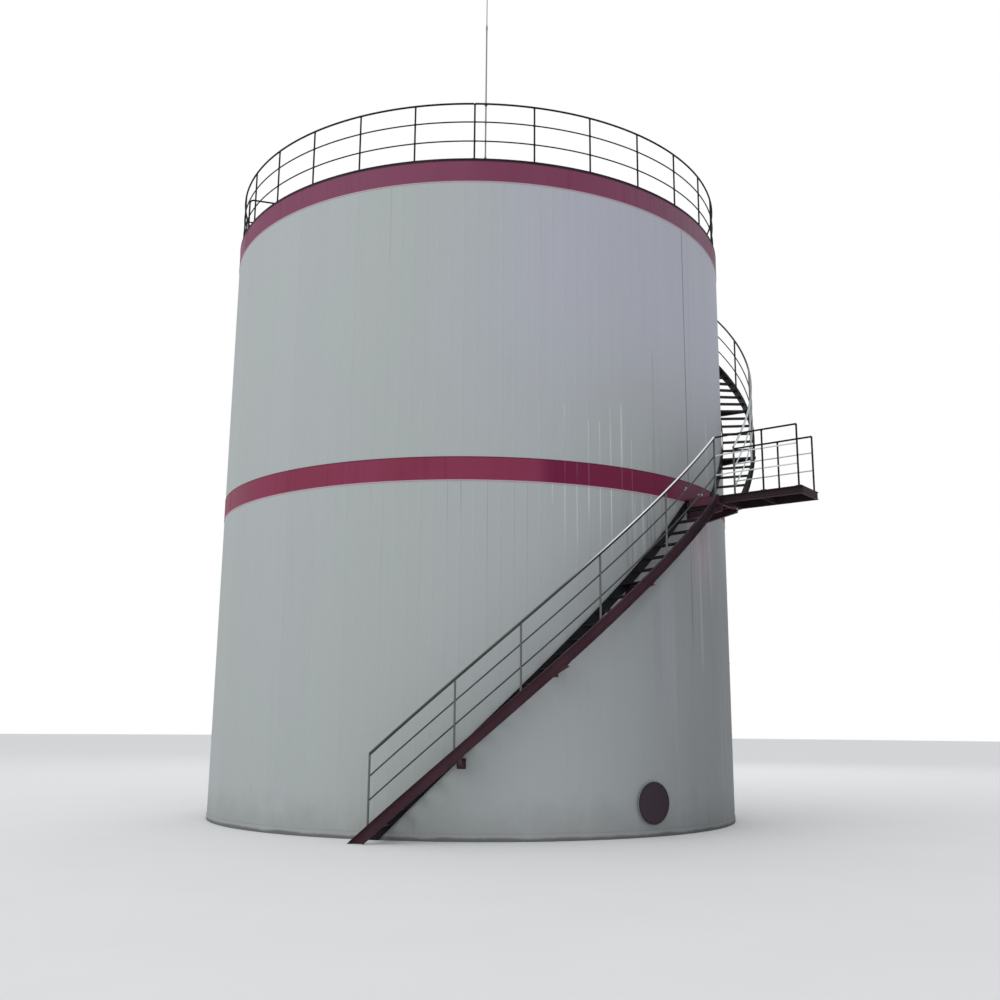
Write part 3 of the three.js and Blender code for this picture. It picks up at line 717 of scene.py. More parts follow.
# %% Grey cladding finish
def cladding_color(position, azimuth, height, patches):
    """The wall's colour, built up in layers as weather laid it on, with layers of painted shade among them."""
    lilac_side = right_side(azimuth, -22.0, 24.0) * fade(height, 5.6, 9.2, 0.22, 1.0)
    color = mix_colors(lilac_side * 0.85 + patches * 0.15, GREEN_GREY, LILAC_GREY)
    sheet_tone = random_of(calc("FLOOR", (azimuth - RIB_START) / LAP_PITCH))["Value"]
    color = shaded(color, 0.985 + sheet_tone * 0.02)

    shift = {0: position, 1: (9.0, 4.0, 2.0)}
    elsewhere = put(position.tree, "ShaderNodeVectorMath", shift, operation="ADD")[0]
    streaks = use_group(rain_streaks, Position=position, Fineness=7.0)["Mask"]
    washes = use_group(rain_streaks, Position=position, Fineness=3.2)["Mask"]
    runs = use_group(rain_streaks, Position=elsewhere, Fineness=2.1)["Mask"]
    rain_side = right_side(azimuth, 22.0, 40.0) * fade(height, 7.6, 5.4, 0.3, 1.0)
    # Painted shade on the wall behind the stair's treads, near the landing.
    under_bar = azimuth * CLIMB + (LOWER_START - STAIR_DEPTH) - height
    behind_treads = fade(under_bar, 0.75, 0.35) * fade(under_bar, -0.05, 0.0)
    under_stair = fade(azimuth, 24.0, 38.0) * fade(azimuth, 49.0, 47.0)
    color = layered(color, (streaks * 0.12, FAINT_STREAK), (washes * rain_side * 0.38, GREY_WASH),
                    (runs * rain_side * 0.45, LILAC_RUN), (behind_treads * under_stair * 0.45, TREAD_SHADE))

    lower = drips(azimuth, height, MID_BAND[0], 1.5, 0.9, 0.075)
    upper = drips(azimuth, height, sheet_tone * 0.9 + 6.4, 2.4, 0.7, 0.05, 31.0) * (height > MID_BAND[1])
    pale = (lower + upper * 0.7) * (0.10 + near_azimuth(azimuth, 27.0, 18.0))
    dark = drips(azimuth, height, MID_BAND[0], 2.6, 0.65, 0.05, 7.0, RIB_START + 0.1)
    laps = (azimuth - (RIB_START + 0.16)) / LAP_PITCH
    lap_dirt = fade(abs(laps - round(laps)), 0.012, 0.004) * (random_of(round(laps))["Value"] * 0.05)
    open_laps = upright_marks(azimuth, height, OPEN_LAPS)
    color = layered(color, (calc("MULTIPLY", pale, 0.75, clamp=True), PALE_DRIP),
                    (dark * (0.08 + near_azimuth(azimuth, 0.0, 14.0) * 0.3), DARK_LAP),
                    (calc("MAXIMUM", lap_dirt, open_laps), DARK_LAP),
                    (upright_marks(azimuth, height, BRIGHT_RUNS), PALE_DRIP))

    under_landing = near_azimuth(azimuth, 54.0, 9.0)
    mauve = fade(height, 3.7, 5.0) * fade(height, 5.7, 5.5)
    brown = drips(azimuth, height, 5.47, 1.7, 0.75, 0.3, 3.0, 48.8, 0.9)
    ragged = (noise(position, 1.8, 5.0, 0.65) - 0.5) * 0.9
    color = layered(color, (mauve * under_landing * 0.75, MAUVE_WASH),
                    (brown * under_landing * 0.85, BROWN_WASH),
                    (fade(height + ragged, 0.75, 0.0) * 0.30, SPLASHED),
                    (fade(height + ragged * 0.10, 0.07, 0.03) * 0.7, FOOT_GRIME))
    # Painted shade: the wall is darker low down, a little all round and much more on the right side.
    shaded_side = near_azimuth(azimuth, 75.0, 68.0)
    return shaded(color, 1.0 - fade(height, 9.0, 3.2) * (0.02 + shaded_side * 0.40))


def cladding_finish():
    material, shader, position = new_material("grey_cladding", specular=0.25)
    place = use_group(tank_place, Position=position)
    patches = use_group(cloudy_patches, Position=position, Size=2.4)["Mask"]
    color = cladding_color(position, place["Azimuth"], place["Height"], patches)
    waves = noise(stretched(position, 0.35), 1.6)
    coat = use_group(uneven_coat, Position=position, Grain=90.0)["Height"]
    wire(shader, color, fade(patches, 0.0, 1.0, 0.58, 0.70), waves * 4.0 + coat * 0.08, 0.2, 0.0025)
    return material


grey_cladding = cladding_finish()
print(grey_cladding.name, "has", len(grey_cladding.node_tree.nodes), "nodes")

# %% [markdown]
# ### Band paint
#
# The two bands are the same kind of paint in two colours: crimson in the middle and a faded plum at the
# rim. Rain has chalked both. A pinkish painted highlight runs along their lower hems, and a painted shadow
# along their top edges. Where water runs off the wall above, the middle band is washed to a deeper, wetter
# red, with pale lines in step with the ribs.
# Towards the landing both are faded to a duller, paler tone.

# %% Crimson and plum band finishes
# A painted highlight for each band's lower hem, and a painted shadow for its top edge.
BAND_DRIP, HEM_HIGHLIGHT, HEM_SHADOW = rgb(0.42, 0.25, 0.31), rgb(0.62, 0.50, 0.54), rgb(0.05, 0.012, 0.02)


def band_finish(name, color, chalk, washed, pale, fading, edges, drip_strength):
    """Fading gives the two azimuths between which the pale tone sets in, edges the band's two levels."""
    material, shader, position = new_material(name, specular=0.22)
    place = use_group(tank_place, Position=position)
    azimuth, height = place["Azimuth"], place["Height"]
    patches = use_group(cloudy_patches, Position=position, Size=1.6)["Mask"]
    streaks = use_group(rain_streaks, Position=position, Fineness=9.0)["Mask"]
    wet = fade(azimuth, 10.5, 14.5) * fade(azimuth, 66.0, 58.0)
    pale_lines = drips(azimuth, height, edges[1] + 0.03, 1.1, 0.7, 0.04, 12.0)
    wet_side = 0.05 + near_azimuth(azimuth, 26.0, 14.0)
    # Painted highlight along the lower hem, painted shadow along the top edge.
    lower_hem = fade(height, edges[0] + 0.022, edges[0] + 0.010)
    upper_hem = fade(height, edges[1] - 0.022, edges[1] - 0.010)
    darker = rgb(color[0] * 0.6, color[1] * 0.5, color[2] * 0.6)
    painted = layered(color, (patches * 0.35, chalk), (wet, washed), (right_side(azimuth, *fading), pale),
                      (streaks * 0.35, darker), (pale_lines * wet_side * drip_strength, BAND_DRIP),
                      (lower_hem * 0.75, HEM_HIGHLIGHT), (upper_hem * 0.6, HEM_SHADOW))
    coat = use_group(uneven_coat, Position=position, Grain=70.0)["Height"]
    wire(shader, painted, fade(patches, 0.0, 1.0, 0.46, 0.62), coat, 0.12, 0.003)
    return material


crimson_paint = band_finish("crimson_paint", rgb(0.212, 0.020, 0.060), rgb(0.27, 0.050, 0.112),
                            rgb(0.155, 0.005, 0.042), rgb(0.140, 0.033, 0.070), (38.0, 52.0), MID_BAND, 0.5)
plum_paint = band_finish("plum_paint", rgb(0.190, 0.040, 0.092), rgb(0.23, 0.080, 0.140),
                         rgb(0.200, 0.044, 0.098), rgb(0.215, 0.098, 0.150), (18.0, 58.0), TOP_BAND, 0.1)
print("band finishes:", crimson_paint.name, plum_paint.name)

# %% [markdown]
# ### Steelwork
#
# The stair, landing and bridge are dark maroon steel. It is faded on the landing, and painted shade makes
# it blacker on the channel towards the landing and on the bridge, and almost black on the bar beside the
# wall, the treads and the whole upper flight. The manhole's cover is a darker maroon of its own. The
# roof and its rails are near-black and hardly shine, the handrails are zinc gone dull, with a painted
# highlight and shade near the landing and painted shade behind the tank, and the bolts brighter zinc.
# One recipe serves them all: a colour, a worn variant of it, a change of colour with the azimuth where
# there is one, mostly painted light, rust chips, dust on top, and an uneven coat.

# %% One recipe for steel
RUST, DUST = rgb(0.13, 0.050, 0.028), rgb(0.25, 0.23, 0.22)
# Painted shade beneath the lower top rail near the landing, and a painted highlight along its top.
UNDERSIDE_SHADE, PAINTED_HIGHLIGHT = rgb(0.010, 0.012, 0.013), rgb(0.90, 0.90, 0.89)
# The last two colours are painted shade: for rails behind the tank, and for steel towards the landing.
CHALKED, BACKLIT_SHADE, LANDING_SHADE = rgb(0.62, 0.65, 0.65), rgb(0.016, 0.017, 0.019), rgb(0.014, 0.008, 0.013)
STAIR_MIDDLE = 5.35
COAT_BUMP, PLATE_BUMP = 0.18, 0.5


def steel_finish(name, color, worn, rust=0.05, dust=0.2, roughness=0.6, metallic=0.0, shine=0.3, grain=45.0,
                 plate=None, change=None):
    """Plate gives the height of its lozenges, and change lays colour on where the azimuth asks for it."""
    material, shader, position = new_material(name, metallic, shine)
    patches = use_group(cloudy_patches, Position=position, Size=0.5)["Mask"]
    painted = mix_colors(patches * 0.6, color, worn)
    if change:
        painted = change(position, painted)
    chips = use_group(rust_chips, Position=position, Scale=16.0, Amount=rust)["Mask"]
    settled = use_group(settled_dust, Position=position)["Mask"] * dust
    painted = layered(painted, (chips * 0.85, RUST), (settled, DUST))
    height = use_group(uneven_coat, Position=position, Grain=grain)["Height"]
    if plate:
        height = height * 0.15 + plate(position)
    rough = fade(calc("MAXIMUM", chips, settled), 0.0, 1.0, roughness, 0.9)
    wire(shader, painted, rough, height, PLATE_BUMP if plate else COAT_BUMP, 0.0025)
    return material


def plate_round_tank(position):
    """Lozenges laid along the stair: the way up is measured on a circle through the treads."""
    place = use_group(tank_place, Position=position)
    along_stair = place["Azimuth"] * (radians(1) * STAIR_MIDDLE)
    return use_group(tread_lozenges, Across=place["Radius"], Along=along_stair)["Height"]


def painted_highlight_and_shade(position, color):
    """Zinc near the landing with a painted highlight along its top and painted shade below it."""
    near_landing = fade(use_group(tank_place, Position=position)["Azimuth"], 13.0, 25.0, 0.08, 1.0)
    lit_top = near_landing * fade(facing_up(position.tree), 0.20, 0.42)
    return layered(color, (near_landing, UNDERSIDE_SHADE), (lit_top, PAINTED_HIGHLIGHT))


def pale_then_backlit_shade(position, color):
    """Zinc chalked white near the landing and dull beyond it, and painted black behind the tank as painted shade."""
    azimuth = use_group(tank_place, Position=position)["Azimuth"]
    return layered(color, (fade(azimuth, 71.0, 65.0), CHALKED), (fade(azimuth, 78.0, 86.0), BACKLIT_SHADE))


def shaded_towards_landing(position, color):
    """Painted shade: the maroon paint is blacker towards the landing."""
    azimuth = use_group(tank_place, Position=position)["Azimuth"]
    return layered(color, (fade(azimuth, 26.0, 42.0, 0.0, 0.7), LANDING_SHADE))


print("changes of colour:", [f.__name__ for f in (painted_highlight_and_shade, pale_then_backlit_shade, shaded_towards_landing)])

# %% The steel finishes
MAROON, WORN_MAROON = rgb(0.046, 0.017, 0.026), rgb(0.066, 0.027, 0.035)
# Near-black painted shade, for the bar beside the wall, the treads and the upper flight.
SHADE_BLACK, WORN_SHADE_BLACK = rgb(0.007, 0.007, 0.009), rgb(0.014, 0.012, 0.014)

maroon_steel = steel_finish("maroon_steel", MAROON, WORN_MAROON)
channel_steel = steel_finish("channel_steel", MAROON, WORN_MAROON, shine=0.18, change=shaded_towards_landing)
faded_maroon = steel_finish("faded_maroon", rgb(0.100, 0.026, 0.048), rgb(0.112, 0.036, 0.058))
cover_steel = steel_finish("cover_steel", rgb(0.028, 0.016, 0.026), rgb(0.038, 0.022, 0.032),
                           0.04, 0.15, 0.65)
maroon_plate = steel_finish("maroon_tread_plate", MAROON, WORN_MAROON, 0.08, 0.5, plate=plate_round_tank)
sooted_steel = steel_finish("sooted_steel", SHADE_BLACK, WORN_SHADE_BLACK, 0.05, 0.15, shine=0.12)
shade_black_plate = steel_finish("sooted_tread_plate", SHADE_BLACK, WORN_SHADE_BLACK, 0.05, 0.3, 0.65, shine=0.12,
                            plate=plate_round_tank)
dark_steel = steel_finish("dark_steel", rgb(0.010, 0.011, 0.014), rgb(0.020, 0.020, 0.023), 0.05, 0.12, 0.55,
                          shine=0.12)
roof_steel = steel_finish("roof_steel", rgb(0.012, 0.012, 0.015), rgb(0.025, 0.025, 0.027), 0.10, 0.35, 0.65,
                          shine=0.12)
rubbed_zinc = steel_finish("rubbed_zinc", rgb(0.045, 0.050, 0.049), rgb(0.070, 0.075, 0.072), 0.01, 0.0,
                           shine=0.12, change=painted_highlight_and_shade)
dull_zinc = steel_finish("dull_zinc", rgb(0.040, 0.045, 0.044), rgb(0.065, 0.070, 0.067),
                         0.02, 0.05, 0.55, 0.1)
post_zinc = steel_finish("post_zinc", rgb(0.115, 0.122, 0.116), rgb(0.150, 0.156, 0.148),
                         0.02, 0.1, 0.55, 0.1)
rod_zinc = steel_finish("rod_zinc", rgb(0.26, 0.27, 0.28), rgb(0.20, 0.21, 0.215), 0.01, 0.05, 0.5, 0.2)
pale_zinc = steel_finish("pale_zinc", rgb(0.74, 0.76, 0.76), rgb(0.62, 0.64, 0.64), 0.01, 0.05, 0.45, 0.2)
two_tone_zinc = steel_finish("two_tone_zinc", rgb(0.42, 0.44, 0.44), rgb(0.34, 0.36, 0.355),
                             0.01, 0.05, 0.5, 0.2, change=pale_then_backlit_shade)
zinc = steel_finish("zinc_fixings", rgb(0.50, 0.51, 0.52), rgb(0.34, 0.34, 0.34), 0.07, 0.1, 0.4, 0.8,
                    grain=120.0)
print("materials so far:", len(bpy.data.materials))

# %% Floor plate of the tank
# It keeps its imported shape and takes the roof's finish.
frame["nodes"]["floor_plate"].data.materials.clear()
frame["nodes"]["floor_plate"].data.materials.append(roof_steel)
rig.slot(frame["nodes"]["floor_plate"], "dark_steel")
print("floor plate reaches", round(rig.box("floor_plate")[1].x, 3), "m from the axis")

# %% [markdown]
# ## Floor and light
#
# The day was overcast, with more light from the left. A sky texture would colour everything blue, so a
# pale world stands for the cloud: a little brighter overhead and on the left, so that the wall darkens
# to the right as it does in the photograph. Seen directly, the world is plain white. Two broad, weak
# lamps add a soft direction, one high on the left and one behind for the views from the back.

# %% Pale floor
FLOOR_RADIUS = 150
FLOOR_DROP = 0.002

floor_finish, floor_shader, floor_position = new_material("pale_floor", specular=0.1)
floor_tone = noise(floor_position, 0.6, 4.0, 0.6)
floor_color = mix_colors(floor_tone, rgb(0.78, 0.78, 0.78), rgb(0.82, 0.82, 0.82))
wire(floor_shader, floor_color, fade(floor_tone, 0.0, 1.0, 0.85, 0.95))

floor_mesh = bpy.data.meshes.new("floor")
floor_build = bmesh.new()
bmesh.ops.create_circle(floor_build, cap_ends=True, segments=96, radius=FLOOR_RADIUS)
floor_build.to_mesh(floor_mesh)
floor_build.free()
floor_mesh.materials.append(floor_finish)
floor = bpy.data.objects.new("floor", floor_mesh)
floor.location.z = -FLOOR_DROP
bpy.context.scene.collection.objects.link(floor)
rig.stage(floor)
print("floor reaches", FLOOR_RADIUS, "m from the axis")

# %% Overcast world and two lamps
SKY_TINT, SKY_STRENGTH = rgb(0.97, 0.985, 1.0), 0.725
SKY_TOWARDS = (-0.10, -0.085, 0.16)

world = bpy.data.worlds.new("overcast")
world.use_nodes = True
sky = world.node_tree
sky.nodes.clear()
direction = put(sky, "ShaderNodeTexCoord")["Generated"]
brighter = put(sky, "ShaderNodeVectorMath", {0: direction, 1: SKY_TOWARDS}, operation="DOT_PRODUCT")["Value"]
cloud = put(sky, "ShaderNodeBackground", {"Color": SKY_TINT, "Strength": brighter + SKY_STRENGTH})[0]
white = put(sky, "ShaderNodeBackground", {"Color": rgb(1, 1, 1)})[0]
seen = put(sky, "ShaderNodeLightPath")["Is Camera Ray"]
surface = put(sky, "ShaderNodeMixShader", {0: seen, 1: cloud, 2: white})[0]
put(sky, "ShaderNodeOutputWorld", {"Surface": surface})
bpy.context.scene.world = world
bpy.context.scene.view_settings.view_transform = "Standard"


def add_lamp(name, place, size, power, target=(0, 0, 8)):
    """A square soft lamp that looks at a point."""
    lamp = bpy.data.lights.new(name, "AREA")
    lamp.size = size
    lamp.energy = power
    holder = bpy.data.objects.new(name, lamp)
    holder.location = place
    holder.rotation_euler = (Vector(target) - Vector(place)).to_track_quat("-Z", "Y").to_euler()
    bpy.context.scene.collection.objects.link(holder)


add_lamp("cloud_left", (-26, -22, 24), 24, 2400)
add_lamp("cloud_back", (6, 26, 22), 20, 1500)
print("lamps:", [o.name for o in bpy.data.objects if o.type == "LIGHT"])

# %% [markdown]
# ## The cladding
#
# A sheet's ribs are under 1 mm high and 30 mm wide, so from the ground they show as faint upright lines
# and only where they catch the light. They could be bump alone, but a close view would look painted on.
# So the wall is swept round the tank with extra stations at every rib, and the sheets are lapped: past
# each third rib the covering sheet lies a little proud. Where two pieces meet there is a gap too fine to
# see, so that no two faces lie in one plane and flicker.

# %% Stations and radius of the ribbed wall
RIB_HEIGHT = 0.0008
RIB_HALF_TOP = arc(0.007, RADIUS)
RIB_HALF_FOOT = arc(0.015, RADIUS)
LAP_HEIGHT = 0.0005
LAP_EDGE = arc(0.024, RADIUS)
GAP = 0.0003
SLIT = arc(GAP / 2, RADIUS)
PARTS = [(2.5 + 120 * part, 122.5 + 120 * part) for part in range(3)]


def wall_radius(az):
    """The outer face of the sheet at an azimuth."""
    steps = (az - RIB_START) / RIB_PITCH
    off_rib = abs(steps - round(steps)) * RIB_PITCH
    share = (RIB_HALF_FOOT - off_rib) / (RIB_HALF_FOOT - RIB_HALF_TOP)
    rib = RIB_HEIGHT * max(0.0, min(1.0, share))
    past_lap = (az - RIB_START) % LAP_PITCH
    return RADIUS + rib + (LAP_HEIGHT if past_lap < LAP_EDGE else 0.0)


def wall_stations(start, end):
    """Every azimuth on a third of the wall where its section changes, and a few between the ribs."""
    found = [start, end]
    first = int((start - RIB_START) // RIB_PITCH) - 1
    for index in range(first, first + RIB_COUNT // 3 + 4):
        rib = RIB_START + index * RIB_PITCH
        found += [rib + side * half for side in (-1, 1) for half in (RIB_HALF_FOOT, RIB_HALF_TOP)]
        found += [rib + RIB_PITCH * share for share in (0.3, 0.5, 0.7)]
        if index % 3 == 0:
            found += [rib + LAP_EDGE - 0.001, rib + LAP_EDGE + 0.001]
    return sorted(az for az in found if start <= az <= end)


print("stations on one part:", len(wall_stations(*PARTS[0])))

# %% Lower and upper walls
WALL_TIERS = [("lower", 0.0, MID_BAND[0] - GAP), ("upper", MID_BAND[1] + GAP, TOP_BAND[0] - GAP)]


def ribbed_wall(start, end, z0, z1):
    shape = Shape()
    rings = []
    for az in wall_stations(start + SLIT, end - SLIT):
        outer = wall_radius(az)
        rings.append([at(az, WALL_IN, z0), at(az, outer, z0), at(az, outer, z1), at(az, WALL_IN, z1)])
    shape.skin(rings)
    return shape


for tier, z0, z1 in WALL_TIERS:
    for part, (start, end) in enumerate(PARTS, 1):
        make_piece(f"{tier}_cladding_{part}", ribbed_wall(start, end, z0, z1), grey_cladding,
                   "grey_cladding", [f"{tier}_wall_{part}"])

# %% [markdown]
# The manhole passes through the lower wall, so the sheet has a round hole there. A Boolean modifier cuts
# it with a plain cylinder. The result is kept as the sheet's mesh, and the cylinder is thrown away.

# %% Manhole opening in the cladding
MANHOLE_AZ, MANHOLE_Z, MANHOLE_NECK = 35, 0.517, 0.305

cutter_shape = Shape()
cut_radius = MANHOLE_NECK + 0.0005
cutter_shape.lathe(at(MANHOLE_AZ, 4.6, MANHOLE_Z), outward(MANHOLE_AZ),
                   [(cut_radius, 0), (cut_radius, 0.7)], 64)
cutter = bpy.data.objects.new("manhole_cutter", mesh_of("manhole_cutter", cutter_shape))
bpy.context.scene.collection.objects.link(cutter)
wall_piece = bpy.data.objects["lower_cladding_1"]
hole = wall_piece.modifiers.new("manhole_hole", "BOOLEAN")
hole.operation = "DIFFERENCE"
hole.solver = "EXACT"
hole.object = cutter
bpy.context.view_layer.update()
holed = bpy.data.meshes.new_from_object(wall_piece.evaluated_get(bpy.context.evaluated_depsgraph_get()))
wall_piece.modifiers.clear()
wall_piece.data = holed
bpy.data.objects.remove(cutter)
print("wall with its hole:", len(holed.polygons), "faces")

# %% [markdown]
# ## Bands, trim and screws
#
# Each band is a strip of flat sheet over the ribs, hemmed with a small bead at its edges and lapped every
# 36 degrees. A hem is what makes thin sheet look like sheet, because its edge catches a line of light.

# %% Bands and base trim
BAND_OUT = 5.0070
HEM_OUT = 5.0095
HEM = 0.010
JOINT_SHORT = 0.012


def hemmed_section(z0, z1, inner, face, hem):
    """A strip's section with a rounded bead along its top and bottom edges."""
    bead = [(face, 0.0), (face + (hem - face) * 0.8, HEM * 0.15), (hem, HEM * 0.5),
            (face + (hem - face) * 0.8, HEM * 0.85), (face, HEM)]
    upwards = [(r, z0 + z) for r, z in bead] + [(r, z1 - z) for r, z in reversed(bead)]
    return [(inner, z0)] + upwards + [(inner, z1)]


def ring_piece(name, section, material, slot, node, joint_start, joint_pitch, joint_z):
    """A full ring, with a lap plate across each of its joints."""
    shape = Shape()
    shape.sweep(section, stations(0, 360, 0.75)[:-1], endless=True)
    face = max(r for r, z in section) - 0.0005
    for joint in range(round(360 / joint_pitch)):
        az = joint_start + joint * joint_pitch
        lap = [(face - 0.004, joint_z[0]), (face, joint_z[0]), (face, joint_z[1]), (face - 0.004, joint_z[1])]
        shape.sweep(lap, stations(az, az + arc(0.05, RADIUS), 0.2))
    make_piece(name, shape, material, slot, [node])


BANDS = [("middle_band", MID_BAND, crimson_paint, "crimson_paint", 6.0),
         ("top_band", TOP_BAND, plum_paint, "plum_paint", 42.0)]
for band, levels, finish, slot, first_joint in BANDS:
    joint_levels = (levels[0] + JOINT_SHORT, levels[1] - JOINT_SHORT)
    ring_piece(f"{band}_strip", hemmed_section(*levels, WALL_IN, BAND_OUT, HEM_OUT), finish, slot, band,
               first_joint, 36, joint_levels)
flashing = [(5.0058, 0.003), (5.0095, 0.003), (5.0095, 0.097), (5.0085, 0.103), (5.0058, 0.105)]
ring_piece("base_flashing", flashing, grey_cladding, "grey_cladding", "base_trim", 15.0, 18, (0.004, 0.096))

# %% [markdown]
# The sheets are held by screws with sealing washers, one on each rib at every girt. There are over a
# thousand, so they are one joined piece made by a loop, with six-sided heads.

# %% Cladding screws
SCREW_LEVELS = [0.22, 1.55, 2.9, 4.25, 5.40, 6.08, 7.6, 9.1, 10.58]
CLEAR_OF_MANHOLE = 0.36
WASHER_AND_HEAD = [(0.0085, 0), (0.0085, 0.0012), (0.0045, 0.0014), (0.0045, 0.0040)]

screws = Shape()
for index in range(RIB_COUNT):
    az = RIB_START + index * RIB_PITCH
    for z in SCREW_LEVELS:
        if hypot(radians(az - MANHOLE_AZ) * RADIUS, z - MANHOLE_Z) < CLEAR_OF_MANHOLE:
            continue
        foot = at(az, wall_radius(az), z)
        screws.lathe(foot, outward(az), WASHER_AND_HEAD, 6)
make_piece("cladding_screws", screws, grey_cladding, "grey_cladding")

# %% [markdown]
# Four larger bolt heads show on the middle band, where the landing is anchored behind it. They fit no
# even spacing, so each has an azimuth, a level and a width of its own.

# %% Anchor bolts of the landing
ANCHORS = [(52.4, 5.762, 0.036), (53.8, 5.784, 0.036), (46.85, 5.770, 0.026), (47.3, 5.812, 0.026)]

anchors = Shape()
for az, z, across in ANCHORS:
    anchors.bolt(at(az, BAND_OUT - 0.001, z), outward(az), across)
make_piece("anchor_bolts", anchors, pale_zinc, "galvanised_pipe")

# %% [markdown]
# ## Roof
#
# The roof is a low cone of plate: wedges welded side by side, with a round crown plate at the middle and a
# flat rim over the wall. It is turned as one solid, and each weld is a thin round bead laid on it.

# %% Roof plates and welds
ROOF_Z = 11.1603
ROOF_UNDER = 11.1173
ROOF_RISE = 0.45
ROOF_FLAT = 4.85
ROOF_EDGE = 5.0100
CROWN = 0.55
GORES = 20
BEAD = 0.006


def roof_height(radius):
    return ROOF_Z + ROOF_RISE * max(0.0, 1 - radius / ROOF_FLAT)


roof = Shape()
roof_section = [(0.001, ROOF_UNDER + ROOF_RISE), (ROOF_FLAT, ROOF_UNDER), (ROOF_EDGE - 0.002, ROOF_UNDER),
                (ROOF_EDGE, ROOF_UNDER + 0.003), (ROOF_EDGE, ROOF_Z - 0.003), (ROOF_EDGE - 0.003, ROOF_Z),
                (ROOF_FLAT, ROOF_Z), (0.001, ROOF_Z + ROOF_RISE)]
roof.sweep(roof_section, stations(0, 360, 1.0)[:-1], endless=True)
roof.lathe(Vector((0, 0, ROOF_Z + ROOF_RISE - 0.055)), UP, [(CROWN, 0), (CROWN, 0.012), (0.02, 0.061)], 64)
for gore in range(GORES):
    az = (gore + 0.5) * 360 / GORES
    roof.pipe([at(az, r, roof_height(r) + 0.001) for r in (CROWN, 1.6, 2.7, 3.8, ROOF_FLAT, 4.99)], BEAD, 8)
for radius in (2.6, ROOF_FLAT):
    bead = [(radius + BEAD * cos(t), roof_height(radius) + 0.001 + BEAD * sin(t)) for t in turns(6)]
    roof.sweep(bead, stations(0, 360, 2.0)[:-1], endless=True)
make_piece("roof_plates", roof, roof_steel, "dark_steel", ["roof"])

# %% [markdown]
# ## Manhole
#
# A manhole is a short neck through the wall with a flange, closed by a round blind cover. Twenty bolts
# hold it, evenly spaced, so they are a loop round the neck's own axis. The cover and its bolts are
# painted a darker maroon than the stair.

# %% Manhole neck, cover and bolts
MANHOLE_FACE = 5.012
MANHOLE_FLANGE = 0.33
NECK_IN = 0.29
COVER_FROM = 0.0143
COVER_THICK = 0.016
COVER_BOLTS, BOLT_CIRCLE = 20, 0.304

manhole_out = outward(MANHOLE_AZ)
manhole_foot = at(MANHOLE_AZ, MANHOLE_FACE, MANHOLE_Z)
neck = Shape()
tube_from = WALL_IN - 0.04 - MANHOLE_FACE
ring_profile = [(NECK_IN, tube_from), (MANHOLE_NECK, tube_from), (MANHOLE_NECK, -0.004),
                (MANHOLE_NECK + 0.006, 0.0), (MANHOLE_FLANGE - 0.002, 0.0), (MANHOLE_FLANGE, 0.002),
                (MANHOLE_FLANGE, 0.012), (MANHOLE_FLANGE - 0.002, 0.014), (NECK_IN, 0.014)]


def manhole_spoke(turn):
    """A direction in the manhole's face."""
    return along(MANHOLE_AZ) * cos(turn) + UP * sin(turn)


neck.skin([[manhole_foot + manhole_out * d + manhole_spoke(t) * r for r, d in ring_profile]
           for t in turns(64)], endless=True)
cover = Shape()
cover.lathe(manhole_foot + manhole_out * COVER_FROM, manhole_out,
            [(MANHOLE_FLANGE - 0.002, 0), (MANHOLE_FLANGE, 0.002), (MANHOLE_FLANGE, COVER_THICK - 0.002),
             (MANHOLE_FLANGE - 0.002, COVER_THICK), (0.262, COVER_THICK), (0.258, COVER_THICK - 0.002)], 64)
manhole_bolts = Shape()
for t in turns(COVER_BOLTS):
    on_cover = manhole_foot + manhole_spoke(t) * BOLT_CIRCLE + manhole_out * (COVER_FROM + COVER_THICK)
    manhole_bolts.bolt(on_cover, manhole_out, 0.022)
make_piece("manhole_flange", neck, grey_cladding, "grey_cladding", ["manhole_neck"])
make_piece("manhole_blind_cover", cover, cover_steel, "maroon_steel", ["manhole_cover"])
make_piece("manhole_cover_bolts", manhole_bolts, cover_steel, "maroon_steel")

# %% [markdown]
# ## Roof guardrail
#
# Thirty posts of narrow pipe stand round the rim, with three rails through them. Each post has a small
# base plate with two bolts, and each joint a weld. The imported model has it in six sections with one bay
# open at the stair's head, and the same six are made here in round pipe.

# %% Fittings for pipe rails
def weld(shape, centre, direction, radius):
    """A small bead round a pipe where another one meets it."""
    shape.lathe(centre - direction * 0.006, direction,
                [(radius, 0), (radius + 0.0035, 0.003), (radius + 0.0035, 0.009), (radius, 0.012)], 12)


def rounded(points, bend, steps=8):
    """Replaces each inner corner of a path by a round bend."""
    path = [points[0]]
    for before, corner, after in zip(points, points[1:], points[2:]):
        start = corner + (before - corner).normalized() * bend
        end = corner + (after - corner).normalized() * bend
        for k in range(steps + 1):
            t = k / steps
            path.append(start * (1 - t) ** 2 + corner * (2 * t * (1 - t)) + end * t ** 2)
    return path + [points[-1]]


def foot_plate(shape, bolts, az, radius, z, deep, wide, thick=0.008):
    """A base plate on a level surface, with a bolt to each side of the post."""
    shape.block_at(az, radius, z, (-deep / 2, -wide / 2, 0), (deep / 2, wide / 2, thick))
    for side in (-1, 1):
        bolts.bolt(at(az, radius, z + thick) + along(az) * (side * wide * 0.36), UP, 0.017)


print("rail fittings ready")

# %% Guardrail sections
GUARD_RADIUS = 4.960
GUARD_POSTS = 30
GUARD_PARTS = 6
GUARD_FIRST = -1.2
GUARD_HEIGHTS = [1.053, 0.707, 0.347]
POST, TOP_RAIL, MID_RAIL = 0.0155, 0.0170, 0.0120
GATE_BAY = 10


def post_az(index):
    return GUARD_FIRST + index * 360 / GUARD_POSTS


def on_guard(az, height):
    return at(az, GUARD_RADIUS, ROOF_Z + height)


